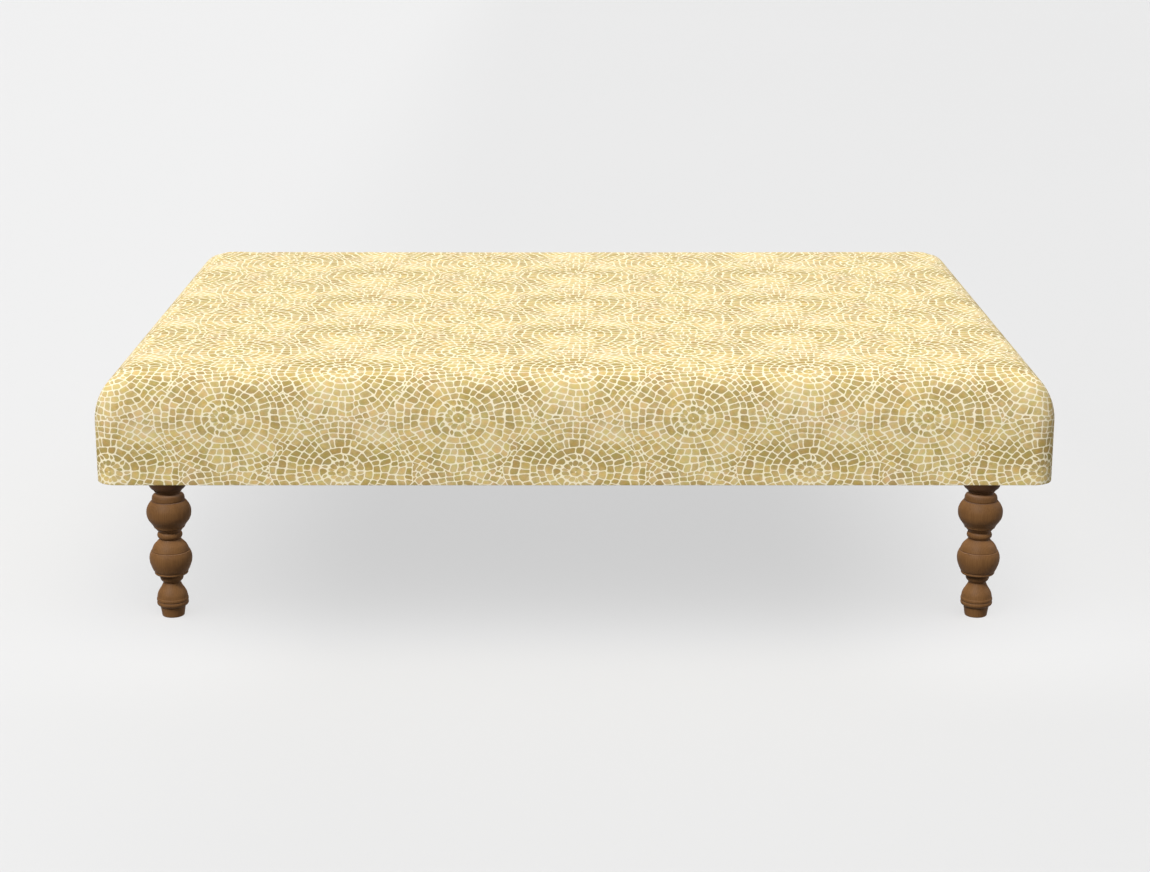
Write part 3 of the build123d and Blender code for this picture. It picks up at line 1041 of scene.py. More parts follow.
# %% Outline of a leg
# Each stretch is a line through points of radius and height in mm, from the sole up
LEG_STRETCHES = [
    # The recess for the glide, the rim and the tapered foot
    [(0, 1.5), (10.6, 1.5)],
    [(10.6, 1.5), (10.6, 0.5)],
    [(10.6, 0.5), (13.0, 0.5)],
    [(13.0, 0.5), (14.2, 0.8), (14.7, 1.8)],
    [(14.7, 1.8), (15.5, 7.2), (16.5, 13.0)],
    # The shoulder: a bead, a groove and a second bead
    [(16.5, 13.0), (16.6, 13.9), (17.4, 14.6), (19.2, 15.7), (20.4, 17.2), (20.8, 19.0), (20.5, 20.8)],
    [(20.5, 20.8), (19.6, 21.5)],
    [(19.6, 21.5), (20.5, 22.2), (20.8, 23.6), (20.7, 25.2), (20.1, 26.4)],
    # The bell that narrows to the ankle, and the collar above it
    [(20.1, 26.4), (19.9, 28.0), (19.2, 31.6), (17.6, 35.2), (15.9, 38.0), (14.2, 40.7), (12.7, 43.5)]
    + [(11.3, 46.6)],
    [(11.3, 46.6), (12.0, 48.0), (14.1, 50.2), (15.2, 52.8), (15.3, 55.0), (14.6, 56.8), (13.7, 57.4)],
    # The ledge under the lower ball, the ball, and its incised line
    [(13.7, 57.4), (18.6, 58.0)],
    [(18.6, 58.0), (20.9, 58.7), (21.9, 60.0), (21.7, 61.4)],
    [(21.7, 61.4), (21.3, 62.2), (22.4, 62.9), (23.2, 64.2)],
    [(23.2, 64.2), (24.3, 66.4), (25.6, 69.6), (27.3, 75.0), (27.9, 80.6), (27.3, 85.6), (25.4, 90.2)],
    [(25.4, 90.2), (24.5, 90.7), (24.4, 91.3)],
    # Up to the waist, its collar, and the cove under the upper ball
    [(24.4, 91.3), (23.2, 94.6), (21.2, 98.4), (18.6, 101.3), (15.9, 104.0), (13.8, 106.6)],
    [(13.8, 106.6), (14.5, 107.6), (15.9, 109.6), (16.4, 111.8), (16.0, 114.0), (14.9, 115.7), (14.5, 116.3)],
    [(14.5, 116.3), (15.4, 117.6), (17.1, 119.8), (18.7, 122.0)],
    [(18.7, 122.0), (20.0, 122.6), (20.4, 124.0)],
    # The upper ball and the bead above its line
    [(20.4, 124.0), (21.8, 126.4), (24.4, 129.9), (26.7, 133.3), (28.6, 138.0), (29.1, 143.4), (28.6, 148.0)]
    + [(26.6, 152.8), (24.4, 156.0), (22.0, 158.7)],
    [(22.0, 158.7), (21.0, 159.2)],
    [(21.0, 159.2), (21.4, 160.4), (21.3, 162.2), (20.7, 164.8), (19.6, 166.6), (18.0, 167.6)],
    # The throat, a small bead, and the cup that widens under the frame
    [(18.0, 167.6), (16.5, 168.5), (15.9, 169.9), (16.3, 171.3)],
    [(16.3, 171.3), (17.6, 171.7), (18.4, 172.7), (18.2, 173.8)],
    [(18.2, 173.8), (18.8, 174.2), (21.4, 175.6), (23.6, 178.6), (25.1, 183.0), (26.2, 188.0)],
    [(26.2, 188.0), (27.0, 188.6), (27.0, 190.5)],
    [(27.0, 190.5), (27.0, 200.9)],
    [(27.0, 200.9), (26.3, 201.6)],
    [(26.3, 201.6), (4.6, 201.6)],
]
SPLINE_STEPS = 4


def splined(knots, steps):
    """A smooth line through its knots, ends included."""
    knots = [Vector(k) for k in knots]
    if len(knots) == 2:
        return knots
    full = [knots[0] * 2 - knots[1]] + knots + [knots[-1] * 2 - knots[-2]]
    line = []
    for a, b, c, d in zip(full, full[1:], full[2:], full[3:]):
        for step in range(steps):
            t = step / steps
            square = 2 * a - 5 * b + 4 * c - d
            cube = 3 * b - a - 3 * c + d
            line.append(0.5 * (2 * b + (c - a) * t + square * t**2 + cube * t**3))
    return line + [knots[-1]]


def in_metres(line):
    """A half outline's points in metres, none of them past the axis."""
    return [(max(p.x, 0) * MM, p.y * MM) for p in line]


def leg_outline():
    """The whole half outline in metres, and which of its points are crisp edges."""
    line = []
    crisp = set()
    for stretch in LEG_STRETCHES:
        bend = splined(stretch, SPLINE_STEPS)
        crisp.add(max(len(line) - 1, 0))
        line += bend if not line else bend[1:]
    return in_metres(line), crisp


outline, crisp_points = leg_outline()
print("leg outline:", len(outline), "points")

# %% [markdown]
# The outline is spun in steps about the leg's own axis. A crisp edge keeps its look because its ring of
# edges is marked sharp, while the rest is shaded smooth.

# %% Spin an outline
ON_AXIS = 1e-6


def spin(name, line, sharp, sides=72):
    """A solid of revolution about its own Z axis."""
    around = [2 * math.pi * s / sides for s in range(sides)]
    points = []
    faces = []
    rows = []
    for radius, z in line:
        if radius < ON_AXIS:
            rows.append([len(points)])
            points.append((0, 0, z))
            continue
        rows.append(list(range(len(points), len(points) + sides)))
        points += [(radius * math.cos(turn), radius * math.sin(turn), z) for turn in around]
    for low, high in zip(rows, rows[1:]):
        for s in range(sides):
            t = (s + 1) % sides
            if len(low) == 1:
                faces.append((low[0], high[t], high[s]))
            elif len(high) == 1:
                faces.append((low[s], low[t], high[0]))
            else:
                faces.append((low[s], low[t], high[t], high[s]))
    piece = make_mesh(name, points, faces)
    sharp_rows = [set(rows[r]) for r in sharp if len(rows[r]) > 1]
    for edge in piece.data.edges:
        ends = set(edge.vertices)
        if any(ends <= row for row in sharp_rows):
            edge.use_edge_sharp = True
    return piece


print("an outline is spun in", spin.__defaults__[0], "steps")

# %% [markdown]
# ## Stained hardwood
# Turned wood shows its growth rings as long streaks, because the lathe cuts through them. The finish is
# solid: rings about a pith that lies beside the leg, stretched and bent by slow clouds, with fine pores along
# the grain. Stain gathers in the grooves when it is wiped, and painted shade darkens them further. Since the
# legs are round, a groove is simply a height: the finish is darker at each groove's height, over a band as
# wide as the groove. The last band is painted shade: the top of the cup, under the frame, is darkest.

# %% The leg wood
WOOD_DARK = (0.136, 0.062, 0.021, 1)
WOOD_WARM = (0.224, 0.108, 0.037, 1)
WOOD_PORE = (0.085, 0.040, 0.018, 1)
WOOD_STAIN_AND_SHADE = (0.060, 0.026, 0.012, 1)
# How far the pith lies beside the leg's axis, in metres, and how close its rings are
WOOD_PITH = (0.055, 0.035)
WOOD_RINGS_PER_METRE = 430.0
# Each band's height and half width in mm, and how dark it is. A groove's band is stain and painted shade,
# and the last band, at the top of the cup, is painted shade alone.
STAIN_AND_SHADE_BANDS = (
    (13.6, 0.9, 0.5),
    (21.5, 0.8, 0.8),
    (46.6, 1.6, 0.45),
    (57.6, 2.0, 0.8),
    (62.2, 0.8, 0.7),
    (91.0, 0.8, 0.8),
    (106.6, 1.8, 0.5),
    (116.3, 1.6, 0.5),
    (122.0, 1.2, 0.4),
    (159.0, 0.9, 0.8),
    (169.6, 1.8, 0.7),
    (173.8, 0.8, 0.6),
    (202.0, 44.0, 1.5),
)


def make_stained_wood():
    """Warm brown stained hardwood with a satin finish, darkened by stain and painted shade at set heights."""
    material, tree, shader = new_finish("stained_wood", 0.55, gloss=0.15)
    x, y, z = split(place_on_piece(tree))
    bend = clouds(point(tree, x * 9.0, y * 9.0, z * 2.2), 1.0, 2.0) - 0.5
    far_x = x + WOOD_PITH[0] + bend * 0.02
    far_y = y + WOOD_PITH[1] + bend * 0.016
    ring_place = distance(far_x, far_y) * WOOD_RINGS_PER_METRE
    ring_wave = (ring_place * (2 * math.pi)).math("SINE") * 0.5 + 0.5
    streaks = clouds(point(tree, x * 700.0, y * 700.0, z * 10.0), 1.0, 3.0, 0.6)
    pores = ramp(clouds(point(tree, x * 2600.0, y * 2600.0, z * 60.0), 1.0, 1.0), 0.62, 0.74)
    broad = clouds(point(tree, x * 60.0, y * 60.0, z * 9.0), 1.0, 1.0)
    mix = ring_wave * 0.10 + streaks * 0.75 + broad * 0.45 - 0.15
    colour = blend_colours(ramp(mix, 0.15, 0.95), WOOD_WARM, WOOD_DARK)
    colour = blend_colours(pores * 0.35, WOOD_PORE, colour)
    # Darker bands by height: stain with painted shade in the grooves, and painted shade at the top of the cup
    stain_and_shade = streaks * 0.2 - 0.1
    for height, reach, strength in STAIN_AND_SHADE_BANDS:
        near = (z * 1000.0 - height).size() * (-1.0 / reach) + 1.0
        stain_and_shade = stain_and_shade.most(near * strength)
    colour = blend_colours(stain_and_shade.most(0.0), WOOD_STAIN_AND_SHADE, colour)
    plug(tree, colour, shader.inputs["Base Color"])
    plug(tree, streaks * 0.15 + 0.5, shader.inputs["Roughness"])
    relief(tree, shader, streaks * 0.6 - pores * 0.5 + 0.5, 0.12 * MM, 0.35)
    return material


stained_wood = make_stained_wood()
print("stained wood:", len(stained_wood.node_tree.nodes), "nodes")

# %% Turn the legs
CORNERS = {"front_left": (-1, -1), "front_right": (1, -1), "back_left": (-1, 1), "back_right": (1, 1)}
# Each leg is turned another way, in degrees, so that its grain looks like another piece of wood
LEG_TURNS = {"front_left": 12, "front_right": 96, "back_left": 201, "back_right": 318}

legs = []
for corner, (sign_x, sign_y) in CORNERS.items():
    leg = spin("leg_" + corner, outline, crisp_points)
    leg.location = (sign_x * leg_x, sign_y * leg_y, 0)
    leg.rotation_euler = (0, 0, math.radians(LEG_TURNS[corner]))
    leg.data.materials.append(stained_wood)
    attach(leg, "root")
    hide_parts("front_legs" if sign_y < 0 else "back_legs")
    legs.append(leg)
print("legs turned, tops at", round(leg_top, 4))

# %% [markdown]
# In the photograph the undersides of the turnings are dark, while the floor is bright. A lamp that casts
# shadows gives the first but not the second. So the leg lamp, which stands higher, lights the legs alone
# and takes only their own shadows, and the shadowless front lamp lights everything else. Blender calls this
# light linking. The lamp that stands in for the floor's light is linked to the cover in the same way.

# %% Choose what each lamp lights
def light_group(name, pieces):
    """A collection of pieces that a lamp can be linked to."""
    group = bpy.data.collections.new(name)
    for piece in pieces:
        group.objects.link(piece)
    return group


lit_legs = light_group("lit_by_leg_lamp", legs)
not_legs = light_group("not_lit_by_front_lamp", legs)
for entry in not_legs.collection_objects:
    entry.light_linking.link_state = "EXCLUDE"
leg_lamp.light_linking.receiver_collection = lit_legs
leg_lamp.light_linking.blocker_collection = lit_legs
front_lamp.light_linking.receiver_collection = not_legs
bounce_lamp.light_linking.receiver_collection = light_group("lit_by_bounce_lamp", [cover])

# %% [markdown]
# Nail-on glides lift the feet off the floor. Each is a low disc of brown plastic with a rounded rim. It could
# be a flattened cylinder with a bevel, but the helper that spun the legs is at hand, and a few points of
# outline give the rim its exact curve. Its nail is out of sight in the wood and isn't made.

# %% Glides
GLIDE_DARK = (0.050, 0.032, 0.020, 1)
GLIDE_LIGHT = (0.075, 0.048, 0.030, 1)
# Radius and height in mm. Each stretch keeps both its ends, so the edges between stretches stay crisp
GLIDE_STRETCHES = [
    [(0, 0.0), (7.6, 0.0)],
    [(7.6, 0.0), (9.2, 0.25), (10.0, 0.9)],
    [(10.0, 0.9), (10.0, 1.5)],
    [(10.0, 1.5), (0, 1.5)],
]


def make_plain_finish(name, dark, light, roughness, grain, depth):
    """A quiet finish: two close shades in small clouds, with fine bumps. Grain is clouds per metre."""
    material, tree, shader = new_finish(name, roughness)
    cloud = clouds(place_on_piece(tree), grain, 3.0)
    plug(tree, blend_colours(ramp(cloud, 0.3, 0.7), light, dark), shader.inputs["Base Color"])
    relief(tree, shader, cloud, depth, 0.4)
    return material


glide_plastic = make_plain_finish("glide_plastic", GLIDE_DARK, GLIDE_LIGHT, 0.45, 900, 0.05 * MM)
glide_line = in_metres([p for stretch in GLIDE_STRETCHES for p in splined(stretch, SPLINE_STEPS)])
for corner, (sign_x, sign_y) in CORNERS.items():
    glide = spin("glide_" + corner, glide_line, [])
    glide.location = (sign_x * leg_x, sign_y * leg_y, 0)
    glide.data.materials.append(glide_plastic)
    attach(glide, "root")
    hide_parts("foot_glides")
print("glides under", len(CORNERS), "legs")

# %% [markdown]
# ## The frame's wood and fixings
# Rails and corner blocks are sawn pine, and the pins are beech. Their shapes are already right in the packed
# model, so only their finish changes. Sawn wood shows straight grain along the board, so a rail that runs
# front to back has its grain turned, by choosing which axis is stretched.

# %% Frame wood
PINE_LIGHT = (0.62, 0.42, 0.22, 1)
PINE_DARK = (0.42, 0.25, 0.11, 1)
BEECH_LIGHT = (0.66, 0.46, 0.29, 1)
BEECH_DARK = (0.50, 0.32, 0.18, 1)
SAWN_RINGS_PER_METRE = 220.0


def make_sawn_wood(name, along, light, dark):
    """Pale sawn wood with its grain along one axis."""
    material, tree, shader = new_finish(name, 0.7, gloss=0.3)
    x, y, z = split(place_on_piece(tree))
    length, width = (x, y) if along == "x" else (y, x)
    bend = clouds(point(tree, length * 3.0, width * 20.0, z * 20.0), 1.0, 2.0) - 0.5
    from_pith = distance(width + 0.3 + bend * 0.02, z - 0.1 + bend * 0.02)
    ring_wave = (from_pith * SAWN_RINGS_PER_METRE * (2 * math.pi)).math("SINE")
    fibres = clouds(point(tree, length * 12.0, width * 700.0, z * 700.0), 1.0, 3.0, 0.6)
    mix = ring_wave * 0.14 + fibres * 0.8 + 0.1
    plug(tree, blend_colours(ramp(mix, 0.2, 0.85), light, dark), shader.inputs["Base Color"])
    relief(tree, shader, fibres, 0.2 * MM, 0.4)
    return material


pine_along = make_sawn_wood("frame_wood", "x", PINE_LIGHT, PINE_DARK)
pine_across = make_sawn_wood("frame_wood_across", "y", PINE_LIGHT, PINE_DARK)
beech = make_sawn_wood("dowel_wood", "y", BEECH_LIGHT, BEECH_DARK)
print("sawn woods:", pine_along.name, pine_across.name, beech.name)

# %% Put the wood on the frame
def give_finish(node_name, material):
    """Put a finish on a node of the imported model."""
    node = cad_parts[node_name]
    node.data.materials.clear()
    node.data.materials.append(material)


for name in ("front_rail", "back_rail"):
    give_finish(name, pine_along)
for name in ("left_rail", "right_rail", "centre_rail"):
    give_finish(name, pine_across)
for corner in CORNERS:
    give_finish("corner_block_" + corner, pine_along)
give_finish("rail_dowels", beech)
print("corner blocks:", len(CORNERS))

# %% [markdown]
# Screws, nuts and bolts are zinc-plated steel: a metal with small bright and dull patches and fine scratches.
# They are small and nearly hidden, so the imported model's shapes are kept and no threads are cut.

# %% Plated steel
ZINC_BRIGHT = (0.66, 0.65, 0.62, 1)
ZINC_DULL = (0.48, 0.48, 0.47, 1)


def make_plated_steel():
    """Zinc-plated steel."""
    material, tree, shader = new_finish("screw_steel", 0.35)
    shader.inputs["Metallic"].default_value = 1.0
    place = place_on_piece(tree)
    patches = clouds(place, 260, 3.0)
    scratches = clouds(place, 2400, 2.0)
    plug(tree, blend_colours(patches, ZINC_BRIGHT, ZINC_DULL), shader.inputs["Base Color"])
    plug(tree, patches * 0.3 + 0.2, shader.inputs["Roughness"])
    relief(tree, shader, scratches, 0.03 * MM, 0.4)
    return material


plated_steel = make_plated_steel()
for name in ("corner_block_screws", "leg_nuts", "leg_bolts"):
    give_finish(name, plated_steel)
print("fixings finished")

# %% [markdown]
# ## Foam and batting
# Inside the cover a slab of foam fills the top, and a fluffy batting softens the foam and the rails. Both
# have the cover's own form at a depth below it, so the cover's rings are used again, drawn in by that depth.
# The foam is closed below and has a faintly uneven skin, and the batting is a shell with a quilted surface.

# %% Rings at a depth
INNER_ROLL_STEPS = 10
INNER_WALL_STEPS = 5
LEAST_WALL = 10 * MM
LEAST_RISE = 0.5 * MM


def rings_at_depth(depth, base):
    """The rolled box's rings at a depth below the cloth, from the top down to a base height."""
    radius = corner_radius - depth
    made = []
    for step in range(INNER_ROLL_STEPS + 1):
        turn = math.pi / 2 * (1 - step / INNER_ROLL_STEPS)
        z = roll_base + (roll_down - depth) * math.sin(turn)
        if z > base + LEAST_RISE:
            made.append((roll_in - (roll_in - depth) * math.cos(turn), radius, z))
    inset, _, start = made[-1]
    steps = INNER_WALL_STEPS if start - base > LEAST_WALL else 1
    for step in range(1, steps + 1):
        made.append((inset, radius, start + (base - start) * step / steps))
    return made


print("a ring of the padding has", len(stations), "points, as the cover's has")

# %% Foam
FOAM_DARK = (0.78, 0.70, 0.42, 1)
FOAM_LIGHT = (0.90, 0.84, 0.60, 1)
FOAM_UPPER_HALF = 0.3
FOAM_DIMPLE = 0.3 * MM


def make_foam():
    """The foam slab, closed underneath, its upper skin faintly dimpled."""
    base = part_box("foam_block")[0].z
    made = rings_at_depth(half_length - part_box("foam_block")[1].x, base)
    count = len(stations)
    points, faces, index = net_points(made)
    below = {}
    for place, number in index.items():
        if number < count:
            below[place] = (len(made) - 1) * count + number
        else:
            below[place] = len(points)
            points.append(Vector((points[number].x, points[number].y, base)))
    for j in range(top_rows):
        for i in range(top_columns):
            faces.append((below[i, j + 1], below[i + 1, j + 1], below[i + 1, j], below[i, j]))
    piece = make_mesh("foam_slab", points, faces)
    for vertex in piece.data.vertices:
        if vertex.co.z > FOAM_UPPER_HALF:
            vertex.co.z -= abs(noise.noise(vertex.co * 22)) * FOAM_DIMPLE
    return piece


foam = make_foam()
foam.data.materials.append(make_plain_finish("foam", FOAM_DARK, FOAM_LIGHT, 0.95, 700, 0.4 * MM))
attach(foam, "root")
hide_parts("foam_block")
print("foam cells:", len(foam.data.polygons))

# %% [markdown]
# Polyester batting looks like a thick white felt with soft dimples. Its shell is solidified from the outer
# net, and a slow noise presses dimples into it.

# %% Batting
BATTING_DARK = (0.74, 0.74, 0.72, 1)
BATTING_LIGHT = (0.90, 0.90, 0.88, 1)
BATTING_THICKNESS = 8 * MM
BATTING_DIMPLE = 1.2 * MM
BATTING_MIDDLE = 0.25
batting_depth = half_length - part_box("batting_wrap")[1].x


def make_batting():
    """The batting's outer net, pressed inward in dimples."""
    points, faces, _ = net_points(rings_at_depth(batting_depth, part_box("batting_wrap")[0].z))
    piece = make_mesh("batting_layer", points, faces)
    for vertex in piece.data.vertices:
        press = max(0.0, noise.noise(vertex.co * 30)) * BATTING_DIMPLE
        inside = Vector((vertex.co.x * 0.9, vertex.co.y * 0.9, BATTING_MIDDLE))
        vertex.co += (inside - vertex.co).normalized() * press
    return piece


batting = make_batting()
thicken(batting, BATTING_THICKNESS, BEHIND)
batting.data.materials.append(make_plain_finish("batting", BATTING_DARK, BATTING_LIGHT, 1.0, 500, 0.8 * MM))
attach(batting, "root")
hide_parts("batting_wrap")
print("batting depth below the cloth:", round(batting_depth / MM, 2), "mm")

# %% [markdown]
# ## Hessian and webbing
# Under the foam lies a sheet of hessian on jute webbing. The straps are woven over and under each other and
# doubled at their tacked ends. A strap is a flat band that follows a soft wave, so it is built as a strip of
# cells along that wave, with a slight crown across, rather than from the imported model's straight steps.

# %% Woven cloths
HESSIAN_DARK = (0.22, 0.14, 0.07, 1)
HESSIAN_LIGHT = (0.52, 0.38, 0.22, 1)
JUTE_DARK = (0.16, 0.09, 0.045, 1)
JUTE_LIGHT = (0.42, 0.28, 0.15, 1)


def make_woven(name, dark, light, threads_per_metre, depth):
    """Coarse plain-woven cloth: threads over and under each other, each thread a little different."""
    material, tree, shader = new_finish(name, 0.95, gloss=0.15)
    x, y, _ = split(place_on_piece(tree))
    across = x * threads_per_metre
    along = y * threads_per_metre
    over = ((across.whole() + along.whole()) * 0.5).part() * 2.0
    ridge_x = (across.part() * math.pi).math("SINE")
    ridge_y = (along.part() * math.pi).math("SINE")
    warp_is_up = over.math("GREATER_THAN", 0.5)
    height = pick(warp_is_up, ridge_x, ridge_y)
    thread = pick(warp_is_up, across.whole(), along.whole() + 7000.0)
    luck = chance(point(tree, thread, over.whole(), 2.0))
    fuzz = clouds(point(tree, x, y), threads_per_metre * 2.5, 2.0)
    mix = height * 0.55 + luck * 0.3 + fuzz * 0.35 - 0.1
    plug(tree, blend_colours(ramp(mix, 0.1, 0.95), light, dark), shader.inputs["Base Color"])
    relief(tree, shader, height * 0.8 + fuzz * 0.3, depth, 0.8)
    return material


hessian_weave = make_woven("hessian", HESSIAN_DARK, HESSIAN_LIGHT, threads_per_metre=420, depth=0.6 * MM)
jute_weave = make_woven("webbing", JUTE_DARK, JUTE_LIGHT, threads_per_metre=330, depth=0.7 * MM)
print("woven cloths:", hessian_weave.name, jute_weave.name)

# %% Hessian sheet
HESSIAN_COLUMNS = 96
HESSIAN_ROWS = 72
HESSIAN_THICKNESS = 0.5 * MM
HESSIAN_SLACK = 0.15 * MM
HESSIAN_CORNER_CUT = 16.2 * MM


def grid_cells(columns, rows, flipped=False):
    """Cells of a grid of points that were made row by row. Flipped ones face the other way."""
    cells = []
    for j in range(rows - 1):
        for i in range(columns - 1):
            a = j * columns + i
            cell = (a, a + 1, a + columns + 1, a + columns)
            cells.append((cell[0], cell[3], cell[2], cell[1]) if flipped else cell)
    return cells


def make_hessian():
    """The hessian sheet, lying slack over the webbing, its corners cut off short of the padding."""
    low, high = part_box("hessian_sheet")
    points = []
    for j in range(HESSIAN_ROWS + 1):
        for i in range(HESSIAN_COLUMNS + 1):
            x = low.x + (high.x - low.x) * i / HESSIAN_COLUMNS
            y = low.y + (high.y - low.y) * j / HESSIAN_ROWS
            spare = (high.x - abs(x)) + (high.y - abs(y))
            if spare < HESSIAN_CORNER_CUT:
                x -= math.copysign((HESSIAN_CORNER_CUT - spare) / 2, x)
                y -= math.copysign((HESSIAN_CORNER_CUT - spare) / 2, y)
            lift = HESSIAN_SLACK * noise.noise(Vector((x * 14, y * 14, 3)))
            points.append((x, y, (low.z + high.z) / 2 + lift))
    return make_mesh("hessian_cloth", points, grid_cells(HESSIAN_COLUMNS + 1, HESSIAN_ROWS + 1))


hessian = make_hessian()
thicken(hessian, HESSIAN_THICKNESS, BOTH_SIDES)
hessian.data.materials.append(hessian_weave)
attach(hessian, "root")
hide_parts("hessian_sheet")

# %% [markdown]
# Each strap starts doubled on its rail, runs flat to the first crossing, and then waves over and under the
# straps of the other set. The wave is a cosine, which is close to the line that a taut strap takes.

# %% Where the straps lie
STRAP_WIDTH = 90 * MM
STRAP_THICKNESS = 1.5 * MM
STRAP_LIFT = 1.8 * MM
STRAP_SEAT = 18 * MM
LENGTHWISE_STRAPS = 5
CROSSWISE_STRAPS = 7
rail_inner_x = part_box("left_rail")[1].x * -1
rail_inner_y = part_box("front_rail")[1].y * -1
frame_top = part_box("front_rail")[1].z


def strap_places(count, span):
    """Places of evenly spaced straps, centred on zero."""
    return [(i - (count - 1) / 2) * span / count for i in range(count)]


across_places = strap_places(LENGTHWISE_STRAPS, 2 * rail_inner_y)
along_places = strap_places(CROSSWISE_STRAPS, 2 * rail_inner_x)
print("straps:", len(across_places), "lengthwise and", len(along_places), "crosswise")

# %% A strap's wave
WAVE_STEPS = 26
FLAT_NEAR_SEAT = 30 * MM


def strap_line(over_first, crossings, half_span):
    """Heights along a strap: flat on its seats, and a wave over and under the straps that it crosses."""
    steps = WAVE_STEPS * (len(crossings) + 1)
    pitch = crossings[1] - crossings[0]
    sense = 1 if over_first else -1
    line = []
    for step in range(steps + 1):
        along = -half_span + 2 * half_span * step / steps
        inner = min(max(along, crossings[0] - pitch / 2), crossings[-1] + pitch / 2)
        wave = 0.5 + 0.5 * sense * math.cos(math.pi * (inner - crossings[0]) / pitch)
        free = smooth_step((half_span - STRAP_SEAT - abs(along)) / FLAT_NEAR_SEAT)
        line.append((along, STRAP_LIFT * wave * free))
    return line


print("a strap has", WAVE_STEPS, "steps from one crossing to the next")

# %% Straps
# Points across a strap as shares of its width, how far its edges curl down, and what it loses to them
ACROSS_SHARES = (-0.5, -0.46, -0.3, -0.1, 0.1, 0.3, 0.46, 0.5)
EDGE_CURL = 0.25 * MM
WIDTH_LEFT = 0.985
STRAP_ROOM = 0.1 * MM


def make_strap(name, lengthwise, row, place, crossings, half_span):
    """One strap: a band that follows its wave, with its ends folded double."""
    line = strap_line((row % 2 == 0) == lengthwise, crossings, half_span)
    folded = [(along, STRAP_THICKNESS) for along, _ in line if along >= half_span - STRAP_SEAT]
    other_fold = [(-along, STRAP_THICKNESS) for along, _ in reversed(folded)]
    points = []
    faces = []
    for band in (line, folded, other_fold):
        start = len(points)
        for along, level in band:
            for share in ACROSS_SHARES:
                curl = EDGE_CURL * (abs(share) * 2) ** 6
                side = place + share * STRAP_WIDTH * WIDTH_LEFT
                z = frame_top + level + STRAP_THICKNESS - STRAP_ROOM - curl
                points.append((along, side, z) if lengthwise else (side, along, z))
        for cell in grid_cells(len(ACROSS_SHARES), len(band), flipped=not lengthwise):
            faces.append(tuple(start + n for n in cell))
    strap = make_mesh(name, points, faces)
    # The cells of both sets face down, so the thickness is added above them
    thicken(strap, STRAP_THICKNESS - 2 * STRAP_ROOM, BEHIND)
    return strap


for lengthwise in (True, False):
    node_name = "webbing_lengthwise" if lengthwise else "webbing_crosswise"
    places = across_places if lengthwise else along_places
    crossings = along_places if lengthwise else across_places
    half_span = (rail_inner_x if lengthwise else rail_inner_y) + STRAP_SEAT
    for row, place in enumerate(places):
        strap = make_strap(f"{node_name}_{row + 1}", lengthwise, row, place, crossings, half_span)
        strap.data.materials.append(jute_weave)
        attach(strap, "root")
        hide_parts(node_name)
    print(node_name, "straps cut", round(2 * half_span + 2 * STRAP_SEAT, 3), "m long")

# %% [markdown]
# ## The underside
# A thin black cloth closes the stool from below and keeps dust out of the webbing. Its edge is folded under
# and stapled over the turned-in hem of the cover, and it rises a little to the frame inside that edge. A
# flat sheet would do from a distance. This one is a grid with close lines where the edge is folded and
# where it rises, so that the fold, the sag and a few creases show from below.

# %% Dust cloth
DUST_DARK = (0.006, 0.006, 0.007, 1)
DUST_LIGHT = (0.024, 0.024, 0.026, 1)
DUST_THICKNESS = 0.3 * MM
DUST_CELL = 14 * MM
DUST_FOLD = 14.5 * MM
DUST_DOUBLED = 0.12 * MM
DUST_RISE_STARTS = 19.8 * MM
DUST_RISE_LENGTH = 6 * MM
DUST_RISE = 1.1 * MM
DUST_SAG = 0.35 * MM
DUST_CREASE = 0.1 * MM
DUST_ROOM = 0.3 * MM
# Lines of the grid near an edge, in mm from it
DUST_EDGE_LINES = [0, 1.5, 14, 15.2, 19.8, 22.5, 26, 40]


def dust_lines(half):
    """Where the grid's lines lie across the cloth: close together near both edges, even between them."""
    edge = [line * MM for line in DUST_EDGE_LINES]
    inner = half - edge[-1]
    count = int(inner * 2 / DUST_CELL)
    middle = [-inner + 2 * inner * i / count for i in range(1, count)]
    return [-half + line for line in edge] + middle + [half - line for line in reversed(edge)]


def make_dust_cloth():
    """The black cloth under the frame, with its edge folded double and a slight sag between the rails."""
    low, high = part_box("dust_cover")
    columns = dust_lines(high.x)
    rows = dust_lines(high.y)
    points = []
    for y in rows:
        for x in columns:
            inset = min(high.x - abs(x), high.y - abs(y))
            rise = DUST_RISE * smooth_step((inset - DUST_RISE_STARTS) / DUST_RISE_LENGTH)
            doubled = DUST_DOUBLED if inset < DUST_FOLD else 0
            sag_x = max(0, math.cos(math.pi * x / (2 * high.x)))
            sag_y = max(0, math.cos(math.pi * y / (2 * high.y)))
            crease = DUST_CREASE * noise.noise(Vector((x * 25, y * 25, 1)))
            points.append((x, y, low.z + DUST_ROOM + rise - doubled - DUST_SAG * sag_x * sag_y + crease))
    return make_mesh("dust_cloth", points, grid_cells(len(columns), len(rows), flipped=True))


dust_cloth = make_dust_cloth()
thicken(dust_cloth, DUST_THICKNESS, BOTH_SIDES)
dust_weave = make_woven("dust_cloth", DUST_DARK, DUST_LIGHT, threads_per_metre=900, depth=0.15 * MM)
dust_cloth.data.materials.append(dust_weave)
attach(dust_cloth, "root")
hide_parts("dust_cover")

# %% [markdown]
# Staples hold the dust cloth. A staple is a short length of flattened wire whose two ends dive into the
# cloth. A plain box would look the same from a step away, but a bent bar with bevelled edges catches the
# light as the real wire does. All of them are one mesh, since there are over a hundred.

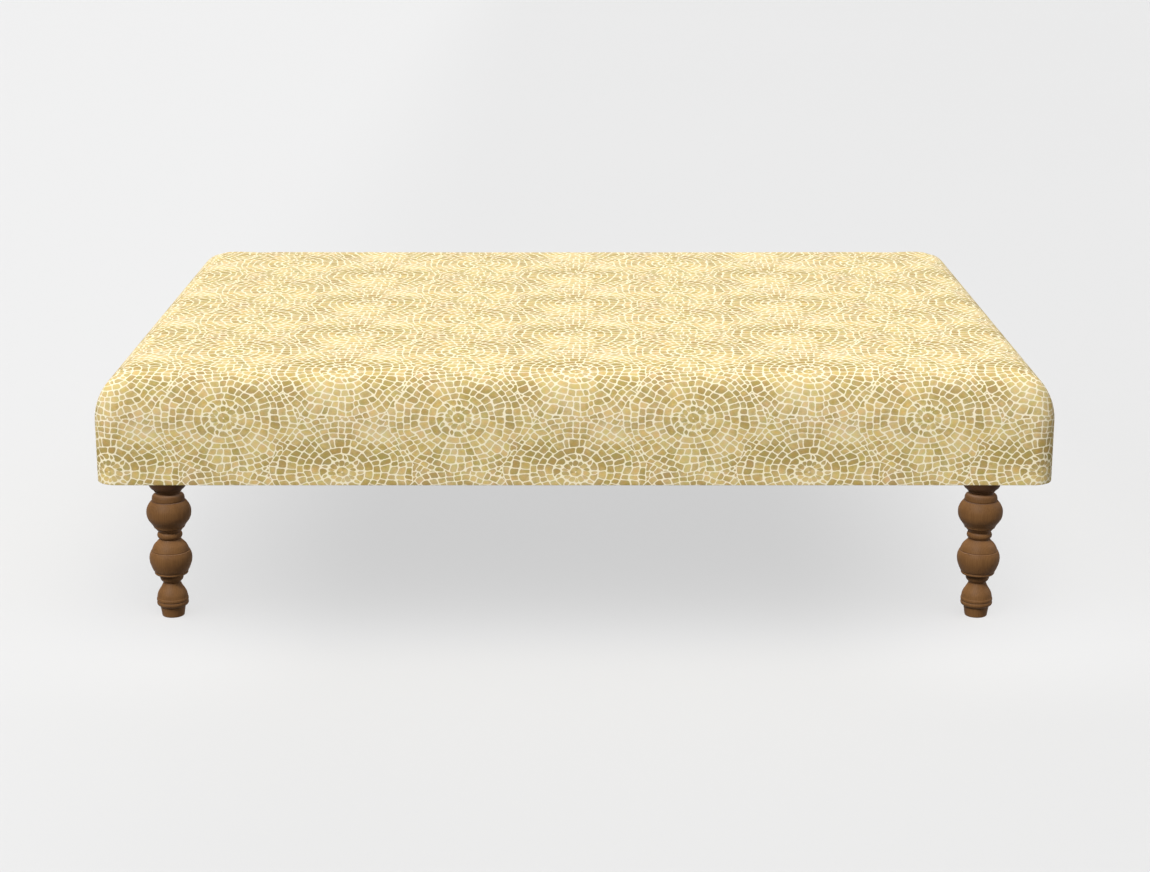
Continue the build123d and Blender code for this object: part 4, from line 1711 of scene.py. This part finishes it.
# %% One staple
STAPLE_SPAN = 10 * MM
STAPLE_WIRE = 0.9 * MM
STAPLE_BEND = 0.6 * MM
STAPLE_TIP = 0.1 * MM
STAPLE_SECTION = ((-0.5, 0.0), (-0.3, -0.32), (0.3, -0.32), (0.5, 0.0), (0.3, 0.3), (-0.3, 0.3))


def add_staple(points, faces, centre, turn):
    """Add one staple: a flattened wire that runs along the cloth and dives into it at both ends."""
    half = STAPLE_SPAN / 2
    line = [(-half, 1.2), (-half + STAPLE_TIP, 0.3), (-half + STAPLE_BEND, 0)]
    line += [(half - STAPLE_BEND, 0), (half - STAPLE_TIP, 0.3), (half, 1.2)]
    start = len(points)
    for along, dip in line:
        for side, drop in STAPLE_SECTION:
            x = centre[0] + along * math.cos(turn) - side * STAPLE_WIRE * math.sin(turn)
            y = centre[1] + along * math.sin(turn) + side * STAPLE_WIRE * math.cos(turn)
            points.append((x, y, centre[2] + dip * MM + drop * STAPLE_WIRE))
    size = len(STAPLE_SECTION)
    last = start + (len(line) - 1) * size
    for n in range(start, last, size):
        for b in range(size):
            c = (b + 1) % size
            faces.append((n + b, n + c, n + size + c, n + size + b))
    faces.append(tuple(start + b for b in reversed(range(size))))
    faces.append(tuple(last + b for b in range(size)))


print("a staple is", round(STAPLE_SPAN / MM, 1), "mm long")

# %% Staples
STAPLE_INSET = 8 * MM
STAPLE_FROM_CORNER = 20 * MM
STAPLE_EVERY = 38 * MM
STAPLE_DEPTH = 0.12 * MM
SLIP_ALONG = 3
SLIP_ACROSS = 1.2
SLIP_TURN = 0.16
random.seed(4)


def make_staples():
    """A row of staples along all four edges of the dust cloth, placed by hand and so never quite even."""
    low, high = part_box("dust_cover")
    z = low.z + STAPLE_DEPTH
    points = []
    faces = []
    made = 0
    for side in ("front", "back", "left", "right"):
        runs_along_x = side in ("front", "back")
        half = high.x if runs_along_x else high.y
        count = int(2 * (half - STAPLE_FROM_CORNER) / STAPLE_EVERY)
        row = 2 * half - 2 * STAPLE_FROM_CORNER
        for i in range(count + 1):
            slip = random.uniform(-SLIP_ALONG, SLIP_ALONG) * MM
            along = -half + STAPLE_FROM_CORNER + row * i / count + slip
            off = STAPLE_INSET + random.uniform(-SLIP_ACROSS, SLIP_ACROSS) * MM
            turn = random.uniform(-SLIP_TURN, SLIP_TURN)
            if runs_along_x:
                y = low.y + off if side == "front" else high.y - off
                add_staple(points, faces, (along, y, z), turn)
            else:
                x = low.x + off if side == "left" else high.x - off
                add_staple(points, faces, (x, along, z), math.pi / 2 + turn)
            made += 1
    return make_mesh("hem_staples", points, faces, smooth=False), made


staples, staple_count = make_staples()
staples.data.materials.append(plated_steel)
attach(staples, "root")
print("staples:", staple_count)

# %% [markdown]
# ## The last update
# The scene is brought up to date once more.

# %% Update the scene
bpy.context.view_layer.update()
